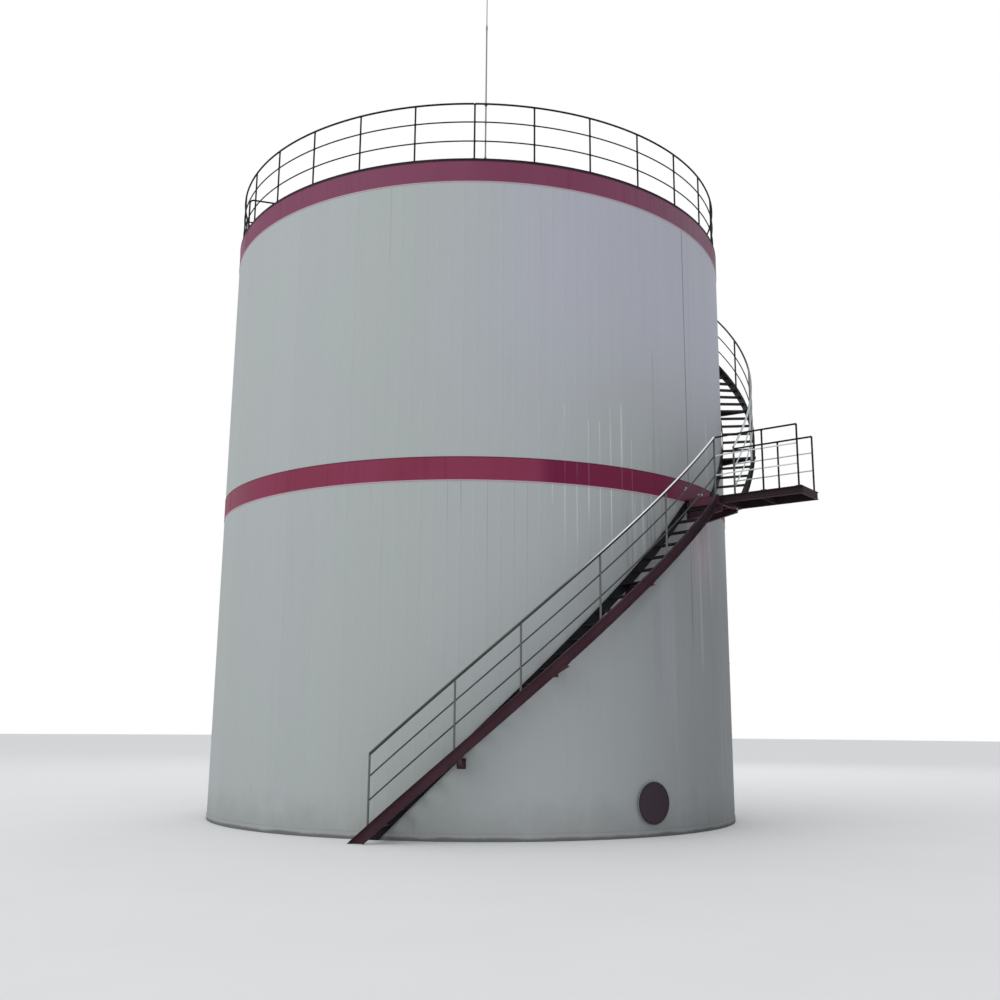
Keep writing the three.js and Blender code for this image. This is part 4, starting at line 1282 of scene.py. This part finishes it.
def guard_section(first, last, rails_to, bolts):
    """Some posts with their feet, and the three rails from the first post to an azimuth."""
    shape = Shape()
    for index in range(first, last + 1):
        az = post_az(index)
        shape.pipe([on_guard(az, 0.001), on_guard(az, GUARD_HEIGHTS[0])], POST, 14)
        foot_plate(shape, bolts, az, GUARD_RADIUS, ROOF_Z + 0.0005, 0.070, 0.110)
        weld(shape, on_guard(az, 0.0125), UP, POST)
        weld(shape, on_guard(az, GUARD_HEIGHTS[0] - 0.022), UP, POST)
    for height, radius in zip(GUARD_HEIGHTS, (TOP_RAIL, MID_RAIL, MID_RAIL)):
        shape.pipe([on_guard(az, height) for az in stations(post_az(first), rails_to, 1.0)], radius, 12)
        for index in range(first, last + 1):
            for side in (-1, 1):
                az = post_az(index) + side * arc(POST + 0.002, GUARD_RADIUS)
                if height != GUARD_HEIGHTS[0] and post_az(first) < az < rails_to:
                    weld(shape, on_guard(az, height), along(az), radius)
    return shape


guard_bolts = Shape()
bays = GUARD_POSTS // GUARD_PARTS
for part in range(GUARD_PARTS):
    first, last = part * bays, part * bays + bays - 1
    rails_to = post_az(last + 1) - arc(POST + GAP, GUARD_RADIUS)
    if first == GATE_BAY:
        first += 1
    if last + 1 == GATE_BAY:
        last, rails_to = last + 1, post_az(last + 1)
    make_piece(f"guardrail_pipes_{part + 1}", guard_section(first, last, rails_to, guard_bolts), dark_steel,
               "dark_steel", [f"guardrail_{part + 1}"])
make_piece("guardrail_bolts", guard_bolts, zinc, "dark_steel")

# %% [markdown]
# ## Inner guard hoop and lightning rod
#
# Left of the middle a bent hoop of pipe runs from the rim towards the roof's centre. The rod is a long
# pipe with a thinner one let into it, on a base plate stiffened by four small fins, and a clip holds it
# to the guardrail's top rail.

# %% Inner guard hoop
HOOP_AZ, HOOP_OUTER, HOOP_INNER = 286.8, 4.885, 3.9
HOOP_TOP, HOOP_MID, HOOP_PIPE, HOOP_BEND = ROOF_Z + 0.99, ROOF_Z + 0.5, 0.017, 0.09

hoop = Shape()
hoop_corners = [at(HOOP_AZ, HOOP_OUTER, roof_height(HOOP_OUTER)), at(HOOP_AZ, HOOP_OUTER, HOOP_TOP),
                at(HOOP_AZ, HOOP_INNER, HOOP_TOP), at(HOOP_AZ, HOOP_INNER, roof_height(HOOP_INNER) - 0.004)]
hoop.pipe(rounded(hoop_corners, HOOP_BEND), HOOP_PIPE, 16)
hoop.pipe([at(HOOP_AZ, HOOP_OUTER, HOOP_MID), at(HOOP_AZ, HOOP_INNER, HOOP_MID)], HOOP_PIPE - 0.003, 12)
for radius in (HOOP_OUTER, HOOP_INNER):
    hoop.lathe(at(HOOP_AZ, radius, roof_height(radius) - 0.004), UP, [(0.045, 0), (0.045, 0.012)], 20)
    weld(hoop, at(HOOP_AZ, radius, roof_height(radius) + 0.012), UP, HOOP_PIPE)
make_piece("inner_guard_hoop", hoop, dark_steel, "dark_steel", ["roof_inner_guard"])

# %% Lightning rod
ROD_AZ, ROD_RADIUS = 1, 4.912
ROD_PIPE, ROD_TIP, ROD_THIN, ROD_LENGTH = 0.013, 0.008, 2.6, 4.2
ROD_PLATE, ROD_BOLTS = 0.010, 0.033

rod_plate = Shape()
rod_foot = at(ROD_AZ, ROD_RADIUS, ROOF_Z + GAP)
rod_plate.block_at(ROD_AZ, ROD_RADIUS, ROOF_Z + GAP, (-0.045, -0.045, 0), (0.045, 0.045, ROD_PLATE))
for x in (-ROD_BOLTS, ROD_BOLTS):
    for y in (-ROD_BOLTS, ROD_BOLTS):
        rod_plate.bolt(rod_foot + outward(ROD_AZ) * x + along(ROD_AZ) * y + UP * ROD_PLATE, UP, 0.013)
rod = Shape()
rod_start = rod_foot + UP * (ROD_PLATE + GAP)
rod.lathe(rod_start, UP, [(ROD_PIPE, 0), (ROD_PIPE, ROD_THIN), (ROD_PIPE - 0.003, ROD_THIN + 0.012),
                          (ROD_TIP, ROD_THIN + 0.02), (ROD_TIP, ROD_LENGTH - 0.12), (0.001, ROD_LENGTH)], 16)
collar = [(ROD_PIPE, 0), (ROD_PIPE + 0.004, 0.004), (ROD_PIPE + 0.004, 0.056), (ROD_PIPE, 0.06)]
rod.lathe(rod_start + UP * (ROD_THIN - 0.09), UP, collar, 16)
fin = [(0.012, 0), (0.040, 0), (0.040, 0.012), (0.014, 0.075), (0.012, 0.075)]
for t in turns(4):
    spoke = outward(ROD_AZ) * cos(t + pi / 4) + along(ROD_AZ) * sin(t + pi / 4)
    side = spoke.cross(UP)
    rod.slab(fin, rod_start - side * 0.003, spoke, UP, side, 0.006)
clip_z = ROOF_Z + GUARD_HEIGHTS[0]
rod.block_at(ROD_AZ, ROD_RADIUS, clip_z, (-0.02, -0.024, -0.004), (0.046, 0.024, 0.004))
make_piece("rod_base_plate", rod_plate, dark_steel, "dark_steel", ["rod_base"])
make_piece("lightning_rod_mast", rod, rod_zinc, "galvanised_pipe", ["lightning_rod"])

# %% [markdown]
# ## The stair
#
# Both flights hang between a flat bar close to the wall and a rolled channel on the outer side, which
# climb round the tank as a helix. A helix is only a sweep whose height grows with the azimuth. The
# channel is drawn with the small fillets that rolling leaves, because a sharp inner corner would look
# cut from card.

# %% Stair sizes and lines
UPPER_START = 0.880
STAIR_IN, INNER_BAR, STAIR_OUT = 5.018, 0.010, 5.6545
FLANGE, UPPER_FLANGE, WEB, FLANGE_PLATE = 0.058, 0.042, 0.008, 0.010
NOSING_BELOW = 0.012
STEPS = 24
INNER_FACE, OUTER_WEB = STAIR_IN + INNER_BAR, STAIR_OUT - FLANGE
RAIL_RADIUS = 5.608
CURVE_STEP, RAIL_STEP = 0.6, 0.8
SLOPE = atan(CLIMB / (radians(1) * RAIL_RADIUS))
LANDING_TO = 55.3


def lower_line(az):
    return LOWER_START + CLIMB * az


def upper_line(az):
    return UPPER_START + CLIMB * az


def az_at_nosing(z, start):
    return (z + NOSING_BELOW - start) / CLIMB


LANDING_FROM = az_at_nosing(LANDING_Z, LOWER_START)
TOP_FROM = az_at_nosing(ROOF_Z, UPPER_START)
SLIT_AZ = arc(GAP, STAIR_IN)
LOWER_SPAN = (-20, LANDING_FROM - SLIT_AZ)
UPPER_SPAN = (LANDING_TO + SLIT_AZ, TOP_FROM - SLIT_AZ)
UPPER_FOOT = LANDING_Z - 0.100
print("landing from", round(LANDING_FROM, 2), "degrees, top platform from", round(TOP_FROM, 2))

# %% Channels and treads
FILLET = 0.007


def channel(back, reach, depth, top=0.0, flange=FLANGE_PLATE):
    """A rolled channel's section: its back at a radius, its flanges reaching out or in from there."""
    way = 1 if reach > 0 else -1
    inner, tip, bottom = back + way * WEB, back + reach, top - depth
    fillet = [(inner + way * FILLET, 0.0), (inner + way * FILLET * 0.3, FILLET * 0.3), (inner, FILLET)]
    lower = [(tip, bottom), (tip, bottom + flange)] + [(r, bottom + flange + z) for r, z in fillet]
    upper = [(r, top - flange - z) for r, z in reversed(fillet)] + [(tip, top - flange), (tip, top)]
    return [(back, bottom)] + lower + upper + [(back, top)]


def flat_bar(inner, outer, depth, edge=0.0015):
    """A flat bar on edge, with its four corners taken off a little."""
    return [(inner + edge, -depth), (outer - edge, -depth), (outer, -depth + edge), (outer, -edge),
            (outer - edge, 0), (inner + edge, 0), (inner, -edge), (inner, -depth + edge)]


TREAD_DEPTH, TREAD_PLATE = 0.172, 0.005
LOWER_LIP, UPPER_LIP = 0.016, 0.011


def tread_section(lip):
    """A folded plate: level on top, turned down at the front and the back with round corners."""
    half, t, r = TREAD_DEPTH / 2, TREAD_PLATE, 0.006
    outer = [(-half, -lip), (-half, -r), (-half + r * 0.3, -r * 0.3), (-half + r, 0), (half - r, 0),
             (half - r * 0.3, -r * 0.3), (half, -r), (half, -lip)]
    inner = [(half - t, -lip), (half - t, -t), (-half + t, -t), (-half + t, -lip)]
    return outer + inner


def add_tread(shape, bolts, az, z, lip):
    """A tread with its front edge at az, the two cleats that carry it and its bolts."""
    middle = az + arc(TREAD_DEPTH / 2, (INNER_FACE + OUTER_WEB) / 2)
    front, out = along(middle), outward(middle)
    rings = [[at(middle, r, z) + front * x + UP * y for x, y in tread_section(lip)]
             for r in (INNER_FACE - 0.003, OUTER_WEB + 0.003)]
    shape.skin(rings)
    for face, way in ((INNER_FACE, 1), (OUTER_WEB, -1)):
        origin = at(middle, face, z - TREAD_PLATE - 0.001)
        for low, reach in ((-0.022, 0.004), (-0.004, 0.030)):
            shape.block(origin, out * way, front, UP, (-0.001, -0.07, low), (reach, 0.07, 0))
    for side in (-0.045, 0.045):
        bolts.bolt(at(middle, OUTER_WEB + WEB, z - 0.018) + front * side, out, 0.018)


def flight_shapes(line, start, from_z, to_z, span, flange, lip):
    """The inner bar, the outer channel, the treads and the bolts of one flight."""
    inner, outer, treads, bolts = [Shape() for _ in range(4)]
    azimuths = stations(*span, CURVE_STEP)
    inner.sweep(flat_bar(STAIR_IN, INNER_FACE, STAIR_DEPTH), azimuths, line)
    outer.sweep(channel(OUTER_WEB, flange, STAIR_DEPTH), azimuths, line)
    rise = (to_z - from_z) / STEPS
    for step in range(1, STEPS):
        z = from_z + step * rise
        add_tread(treads, bolts, az_at_nosing(z, start), z, lip)
    return inner, outer, treads, bolts


FLIGHTS = [
    ("lower", (lower_line, LOWER_START, 0.0, LANDING_Z, LOWER_SPAN, FLANGE, LOWER_LIP), channel_steel, 0.0),
    ("upper", (upper_line, UPPER_START, LANDING_Z, ROOF_Z, UPPER_SPAN, UPPER_FLANGE, UPPER_LIP), sooted_steel,
     UPPER_FOOT)]
for name, sizes, outer_finish, foot in FLIGHTS:
    inner, outer, treads, bolts = flight_shapes(*sizes)
    node = [f"{name}_flight"]
    make_piece(f"{name}_inner_bar", inner, sooted_steel, "maroon_steel", node, floor_level=foot)
    make_piece(f"{name}_channel", outer, outer_finish, "maroon_steel", node, floor_level=foot)
    make_piece(f"{name}_treads", treads, shade_black_plate, "maroon_steel", node)
    make_piece(f"{name}_tread_bolts", bolts, outer_finish, "maroon_steel")

# %% [markdown]
# ## Handrails of the stair
#
# The handrail stands on the outer channel's top flange. Its rails are the channel's own helix, lifted, so
# they stay parallel to it. The posts stay upright, and each has a foot plate that leans with the slope.
# On the lower flight posts, top rail and pipes are pieces of their own, because each has a finish of its
# own. The posts have kept more of their zinc. The top rail is a thicker pipe, and near the landing it has a
# painted highlight along its top and painted shade beneath it. The upper handrail's first post stands
# on the landing, where the far rail of the bridge meets it.

# %% Handrail along a flight
RAIL_POST, RAIL_TOP, RAIL_MID = 0.0170, 0.0190, 0.0120
LOWER_TOP = 0.0235
LOWER_HEIGHTS = (1.020, 0.695, 0.350)
UPPER_HEIGHTS = (1.080, 0.705, 0.350)
LOWER_POSTS = (-15.8, -2.85, 7.15, 20.2, 33.4, 47.0)
UPPER_POSTS = (54.8, 68.0, 81.2, 94.4, 107.6, 120.8)


def climbing(az):
    """The direction of the stair's slope at an azimuth."""
    return (along(az) * cos(SLOPE) + UP * sin(SLOPE)).normalized()


def rail_post(shape, az, line, heights):
    """A post on the channel, with a leaning foot plate and a weld at each end."""
    foot = at(az, RAIL_RADIUS, line(az))
    slope, out = climbing(az), outward(az)
    shape.pipe([foot, foot + UP * heights[0]], RAIL_POST, 14)
    shape.block(foot, slope, out, out.cross(slope) * -1, (-0.055, -0.026, 0.0005), (0.055, 0.026, 0.0065))
    weld(shape, foot + UP * 0.016, UP, RAIL_POST)
    weld(shape, foot + UP * (heights[0] - 0.022), UP, RAIL_POST)


def flight_rails(top, pipes, posts, heights, line, thick):
    """The top rail, and the two pipes below it with a weld to each side of every post."""
    for height, radius in zip(heights, (thick, RAIL_MID, RAIL_MID)):
        path = [at(az, RAIL_RADIUS, line(az) + height) for az in stations(posts[0], posts[-1], RAIL_STEP)]
        (top if height == heights[0] else pipes).pipe(path, radius, 14)
    for az in posts[1:-1]:
        for height in heights[1:]:
            for side in (-1, 1):
                centre = at(az, RAIL_RADIUS, line(az) + height) + climbing(az) * (side * 0.020)
                weld(pipes, centre, climbing(az), RAIL_MID)


lower_posts, lower_top, lower_pipes = Shape(), Shape(), Shape()
for az in LOWER_POSTS:
    rail_post(lower_posts, az, lower_line, LOWER_HEIGHTS)
flight_rails(lower_top, lower_pipes, LOWER_POSTS, LOWER_HEIGHTS, lower_line, LOWER_TOP)
make_piece("lower_handrail_posts", lower_posts, post_zinc, "galvanised_pipe", ["lower_handrail"],
           floor_level=0.0)
make_piece("lower_handrail_top", lower_top, rubbed_zinc, "galvanised_pipe", ["lower_handrail"])
make_piece("lower_handrail_pipes", lower_pipes, dull_zinc, "galvanised_pipe", ["lower_handrail"])

# %% Upper handrail, round the top platform and back to the guardrail
TURN_AZ = 129.2
RETURN_RADIUS = 5.045

corner_post, upper_rail = Shape(), Shape()
corner_foot = at(UPPER_POSTS[0], RAIL_RADIUS, LANDING_Z + 0.0004)
corner_top = upper_line(UPPER_POSTS[0]) + UPPER_HEIGHTS[0]
corner_post.pipe([corner_foot, at(UPPER_POSTS[0], RAIL_RADIUS, corner_top)], RAIL_POST + 0.001, 16)
corner_post.lathe(corner_foot, UP, [(0.038, 0), (0.038, 0.006), (0.034, 0.008)], 24)
weld(corner_post, corner_foot + UP * 0.016, UP, RAIL_POST + 0.001)
for az in UPPER_POSTS[1:]:
    rail_post(upper_rail, az, upper_line, UPPER_HEIGHTS)
flight_rails(upper_rail, upper_rail, UPPER_POSTS, UPPER_HEIGHTS, upper_line, RAIL_TOP)
for height, radius in zip(UPPER_HEIGHTS, (RAIL_TOP, RAIL_MID, RAIL_MID)):
    z = upper_line(UPPER_POSTS[-1]) + height
    level = [at(az, RAIL_RADIUS, z) for az in stations(UPPER_POSTS[-1], TURN_AZ - 0.9, RAIL_STEP)]
    corner, back = at(TURN_AZ, RAIL_RADIUS, z), at(TURN_AZ, RETURN_RADIUS, z)
    bend = rounded([level[-1], corner, back], 0.07)
    upper_rail.pipe(level + bend[1:], radius, 14)
for radius in (RAIL_RADIUS, RETURN_RADIUS + RAIL_POST):
    top = upper_line(UPPER_POSTS[-1]) + UPPER_HEIGHTS[0] - (0.03 if radius == RAIL_RADIUS else 0)
    upper_rail.pipe([at(TURN_AZ, radius, ROOF_Z + GAP), at(TURN_AZ, radius, top)], RAIL_POST, 14)
make_piece("landing_corner_post", corner_post, post_zinc, "dark_steel", ["upper_handrail"])
# Painted shade turns the upper handrail's pipes black behind the tank.
make_piece("upper_handrail_pipes", upper_rail, two_tone_zinc, "dark_steel", ["upper_handrail"])

# %% [markdown]
# ## Brackets
#
# Each bracket is a short arm of I section, deep at the wall and shallow at its end, welded to a pad on the
# tank. Its upper flange leans with the stair. The section is drawn at a few radii and skinned, which
# gives the taper without any cutting. Under the stair the arm runs out to almost nothing at its tip.

# %% Tapered brackets
BRACKET_WIDE, BRACKET_WEB, BRACKET_TIP = 0.070, 0.008, STAIR_OUT
PLATE = 0.008
PAD_IN, PAD_OUT, PAD_HALF = 0.0066, 0.0145, 0.070


def bracket(shape, az, top, wall_depth, end_depth):
    """An arm whose upper face is at top(offset), where offset is the distance round the tank."""
    half, web = BRACKET_WIDE / 2, BRACKET_WEB / 2
    rings = []
    for radius in (5.010, 5.2, 5.45, BRACKET_TIP - 0.003):
        share = (radius - RADIUS) / (BRACKET_TIP - RADIUS)
        bottom = top(0) - wall_depth - (end_depth - wall_depth) * share
        section = [(-half, top(-half)), (half, top(half)), (half, top(half) - PLATE), (web, top(web) - PLATE),
                   (web, bottom + PLATE), (half, bottom + PLATE), (half, bottom), (-half, bottom),
                   (-half, bottom + PLATE), (-web, bottom + PLATE), (-web, top(-web) - PLATE),
                   (-half, top(-half) - PLATE)]
        rings.append([at(az, radius, z) + along(az) * t for t, z in section])
    shape.skin(rings)
    pad_low = top(0) - wall_depth - 0.03
    shape.block_at(az, RADIUS, 0, (PAD_IN, -PAD_HALF, pad_low), (PAD_OUT, PAD_HALF, top(0) - 0.005))
    if end_depth > 0.03:
        end_plate = (-0.006, -half, top(0) - end_depth), (0, half, top(0) - 0.004)
        shape.block_at(az, BRACKET_TIP - 0.003, 0, *end_plate)


def stair_bracket(az, line):
    shape = Shape()
    drop = STAIR_DEPTH + 0.0005
    bracket(shape, az, lambda offset: line(az + arc(offset, STAIR_MIDDLE)) - drop, 0.130, 0.024)
    return shape


ARM_BEVEL = 0.0015
STAIR_ARMS = [("lower", (-2.0, 14.4, 30.0), lower_line, maroon_steel),
              ("upper", (72.3, 88.8, 105.3), upper_line, sooted_steel)]
for name, azimuths, line, finish in STAIR_ARMS:
    for index, az in enumerate(azimuths, 1):
        make_piece(f"{name}_arm_{index}", stair_bracket(az, line), finish, "maroon_steel",
                   [f"{name}_bracket_{index}"], bevel=ARM_BEVEL)

# %% [markdown]
# ## Landing and top platform
#
# Both are a frame of two curved channels and four bars, under a deck of tread plate. The frame's inner
# channel opens to the tank and the outer one away from it, as on the stair, so the two run on together.

# %% Curved frames with a deck
BEAM = 0.140
DECK = 0.006


def curved_frame(start, end, depth, z):
    """Two curved channels and the four bars between them, each with a flange along its foot."""
    shape = Shape()
    azimuths = stations(start, end, CURVE_STEP)
    shape.sweep(channel(STAIR_IN + FLANGE, -FLANGE, depth, z), azimuths)
    shape.sweep(channel(STAIR_OUT - FLANGE, FLANGE, depth, z), azimuths)
    margin = arc(0.030, RAIL_RADIUS)
    for bar in range(4):
        az = start + margin + (end - start - 2 * margin) * bar / 3
        half = 0.02 if bar in (0, 3) else 0.005
        low, high = STAIR_IN + FLANGE - 0.001, STAIR_OUT - FLANGE + 0.001
        shape.block_at(az, 0, z, (low, -half, -depth), (high, half, 0))
        shape.block_at(az, 0, z, (low, -0.03, -depth), (high, 0.03, PLATE - depth))
    return shape


def deck_plate(start, end, top):
    shape = Shape()
    section = [(STAIR_IN, top - DECK), (STAIR_OUT, top - DECK), (STAIR_OUT, top - 0.001),
               (STAIR_OUT - 0.001, top), (STAIR_IN, top)]
    shape.sweep(section, stations(start, end, CURVE_STEP))
    return shape


landing_top = LANDING_Z - DECK - GAP
landing = curved_frame(LANDING_FROM, LANDING_TO, BEAM, landing_top)
landing_deck = deck_plate(LANDING_FROM, LANDING_TO, LANDING_Z)
make_piece("landing_channels", landing, faded_maroon, "maroon_steel", ["landing_frame"])
make_piece("landing_tread_plate", landing_deck, maroon_plate, "maroon_steel", ["landing_deck"])
for index, (az, end_depth) in enumerate(((48.2, 0.120), (54.4, 0.050)), 1):
    arm = Shape()
    bracket(arm, az, lambda offset: landing_top - BEAM - GAP, 0.190, end_depth)
    make_piece(f"landing_arm_{index}", arm, maroon_steel, "maroon_steel", [f"landing_bracket_{index}"],
               bevel=ARM_BEVEL)

# %% Top platform
TOP_TO = 129.6
TOP_BEAM = 0.120

platform_top = ROOF_Z - DECK - GAP
platform = curved_frame(TOP_FROM, TOP_TO, TOP_BEAM, platform_top)
for az in (123.6, 128.2):
    bracket(platform, az, lambda offset: platform_top - TOP_BEAM - GAP, 0.190, 0.060)
platform_deck = deck_plate(TOP_FROM, TOP_TO, ROOF_Z)
make_piece("top_platform_frame", platform, sooted_steel, "maroon_steel", ["top_platform"])
make_piece("top_platform_plate", platform_deck, shade_black_plate, "maroon_steel", ["top_platform"])

# %% [markdown]
# ## Bridge
#
# The bridge leads straight out from the landing, so it has a frame of its own: x outwards, y round the
# tank. Its beams and deck start where the landing's curved edge leaves off. Its rails start at the last
# post of the lower handrail and the first of the upper one, and bend a little to run straight out. The
# near one has a dark top rail and posts with paler pipes below it.

# %% Bridge beams and deck
BRIDGE_AZ, BRIDGE_HALF, BRIDGE_END = 51.4, 0.360, 7.1
BRIDGE_BEAM, BRIDGE_FLANGE, BRIDGE_PLATE = 0.125, 0.050, 0.009
LANDING_EDGE = STAIR_OUT + 0.0010
bridge_out, bridge_side = outward(BRIDGE_AZ), along(BRIDGE_AZ)


def on_bridge(x, y, z):
    return bridge_out * x + bridge_side * y + UP * z


def edge_x(y):
    """Where the landing's outer edge is, at a distance from the bridge's middle line."""
    return sqrt(LANDING_EDGE ** 2 - y ** 2)


bridge = Shape()
for side in (-1, 1):
    section = channel(BRIDGE_HALF - BRIDGE_FLANGE, BRIDGE_FLANGE, BRIDGE_BEAM, landing_top, BRIDGE_PLATE)
    bridge.skin([[on_bridge(edge_x(y), side * y, z) for y, z in section],
                 [on_bridge(BRIDGE_END, side * y, z) for y, z in section]])
web_line = BRIDGE_HALF - BRIDGE_FLANGE + 0.001
for x0, x1 in ((5.71, 5.72), (6.36, 6.37), (BRIDGE_END - 0.04, BRIDGE_END)):
    bridge.block(Vector(), bridge_out, bridge_side, UP, (x0, -web_line, landing_top - BRIDGE_BEAM),
                 (x1, web_line, landing_top))
bridge_deck = Shape()
spread = [BRIDGE_HALF * k / 8 for k in range(-8, 9)]
deck_outline = [(edge_x(y), y) for y in spread] + [(BRIDGE_END, BRIDGE_HALF), (BRIDGE_END, -BRIDGE_HALF)]
bridge_deck.slab(deck_outline, UP * (LANDING_Z - DECK), bridge_out, bridge_side, UP, DECK)


def plate_on_bridge(position):
    """Lozenges laid along the bridge, measured along its own two directions."""
    across, out = [put(position.tree, "ShaderNodeVectorMath", {0: position, 1: tuple(way)},
                       operation="DOT_PRODUCT")["Value"] for way in (bridge_side, bridge_out)]
    return use_group(tread_lozenges, Across=across, Along=out)["Height"]


bridge_plate = steel_finish("bridge_tread_plate", MAROON, WORN_MAROON, 0.08, 0.5, plate=plate_on_bridge)
make_piece("bridge_beams", bridge, channel_steel, "maroon_steel", ["bridge_frame"])
make_piece("bridge_plate", bridge_deck, bridge_plate, "maroon_steel", ["bridge_deck"])

# %% Bridge rails
BRIDGE_RAIL_Y = 0.332
NEAR_HEIGHTS, FAR_HEIGHTS = (1.050, 0.725, 0.380), (0.975, 0.690, 0.380)
BRIDGE_PIPE, BRIDGE_MID = 0.0160, 0.0115
FROM_POST, STRAIGHT_FROM, BRIDGE_POSTS = 0.019, 5.85, (6.425, 7.04)


def bridge_rail(start_az, start_heights, y, heights):
    """The dark top rail with its posts, the paler pipes below it, and the bolts of the feet."""
    frame_pipes, lower_pipes, bolts = Shape(), Shape(), Shape()
    last, foot_z = BRIDGE_POSTS[-1], LANDING_Z + 0.0005
    for row, (start_z, height) in enumerate(zip(start_heights, heights)):
        post = at(start_az, RAIL_RADIUS, start_z)
        turn = on_bridge(STRAIGHT_FROM, y, LANDING_Z + height)
        start = post + (turn - post).normalized() * FROM_POST
        path = rounded([start, turn, on_bridge(last, y, LANDING_Z + height)], 0.08)
        (lower_pipes if row else frame_pipes).pipe(path, BRIDGE_MID if row else BRIDGE_PIPE, 14)
    for x in BRIDGE_POSTS:
        frame_pipes.pipe([on_bridge(x, y, foot_z), on_bridge(x, y, LANDING_Z + heights[0])], BRIDGE_PIPE, 14)
        weld(frame_pipes, on_bridge(x, y, LANDING_Z + heights[0] - 0.02), UP, BRIDGE_PIPE)
        for height in heights[1:]:
            before_post = on_bridge(x - BRIDGE_PIPE - 0.002, y, LANDING_Z + height)
            weld(lower_pipes, before_post, bridge_out, BRIDGE_MID)
        frame_pipes.block(on_bridge(x, y, foot_z), bridge_out, bridge_side, UP, (-0.045, -0.026, 0),
                          (0.045, 0.026, 0.007))
        for side in (-0.034, 0.034):
            bolts.bolt(on_bridge(x + side, y, foot_z + 0.007), UP, 0.013)
    return frame_pipes, lower_pipes, bolts


near_starts = [lower_line(LOWER_POSTS[-1]) + height for height in LOWER_HEIGHTS]
far_starts = [LANDING_Z + height for height in FAR_HEIGHTS]
RAILS = [("near", LOWER_POSTS[-1], near_starts, -BRIDGE_RAIL_Y, NEAR_HEIGHTS, pale_zinc),
         ("far", UPPER_POSTS[0], far_starts, BRIDGE_RAIL_Y, FAR_HEIGHTS, two_tone_zinc)]
for name, start_az, starts, y, heights, finish in RAILS:
    frame_pipes, lower_pipes, bolts = bridge_rail(start_az, starts, y, heights)
    make_piece(f"bridge_{name}_top_rail", frame_pipes, dark_steel, "dark_steel", [f"bridge_{name}_rail"])
    make_piece(f"bridge_{name}_pipes", lower_pipes, finish, "galvanised_pipe", [f"bridge_{name}_rail"])
    make_piece(f"bridge_{name}_bolts", bolts, zinc, "dark_steel")

# %% [markdown]
# ## Sizes and the end
#
# The dressed model may not grow past the imported one. Both boxes are measured and written down, and
# how far the dressed model grows past the imported one in each direction is printed.

# %% Compare the boxes and finish
seen_low, seen_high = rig.bounds()
with open("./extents.json", "w") as size_file:
    json.dump({"cad": [list(cad_low), list(cad_high)], "visual": [list(seen_low), list(seen_high)]}, size_file)
print("grows below by", [round(c - s, 4) for c, s in zip(cad_low, seen_low)])
print("grows above by", [round(s - c, 4) for c, s in zip(cad_high, seen_high)])
print("pieces:", len(made), "triangles:", sum(len(p.vertices) - 2 for o in made for p in o.data.polygons))
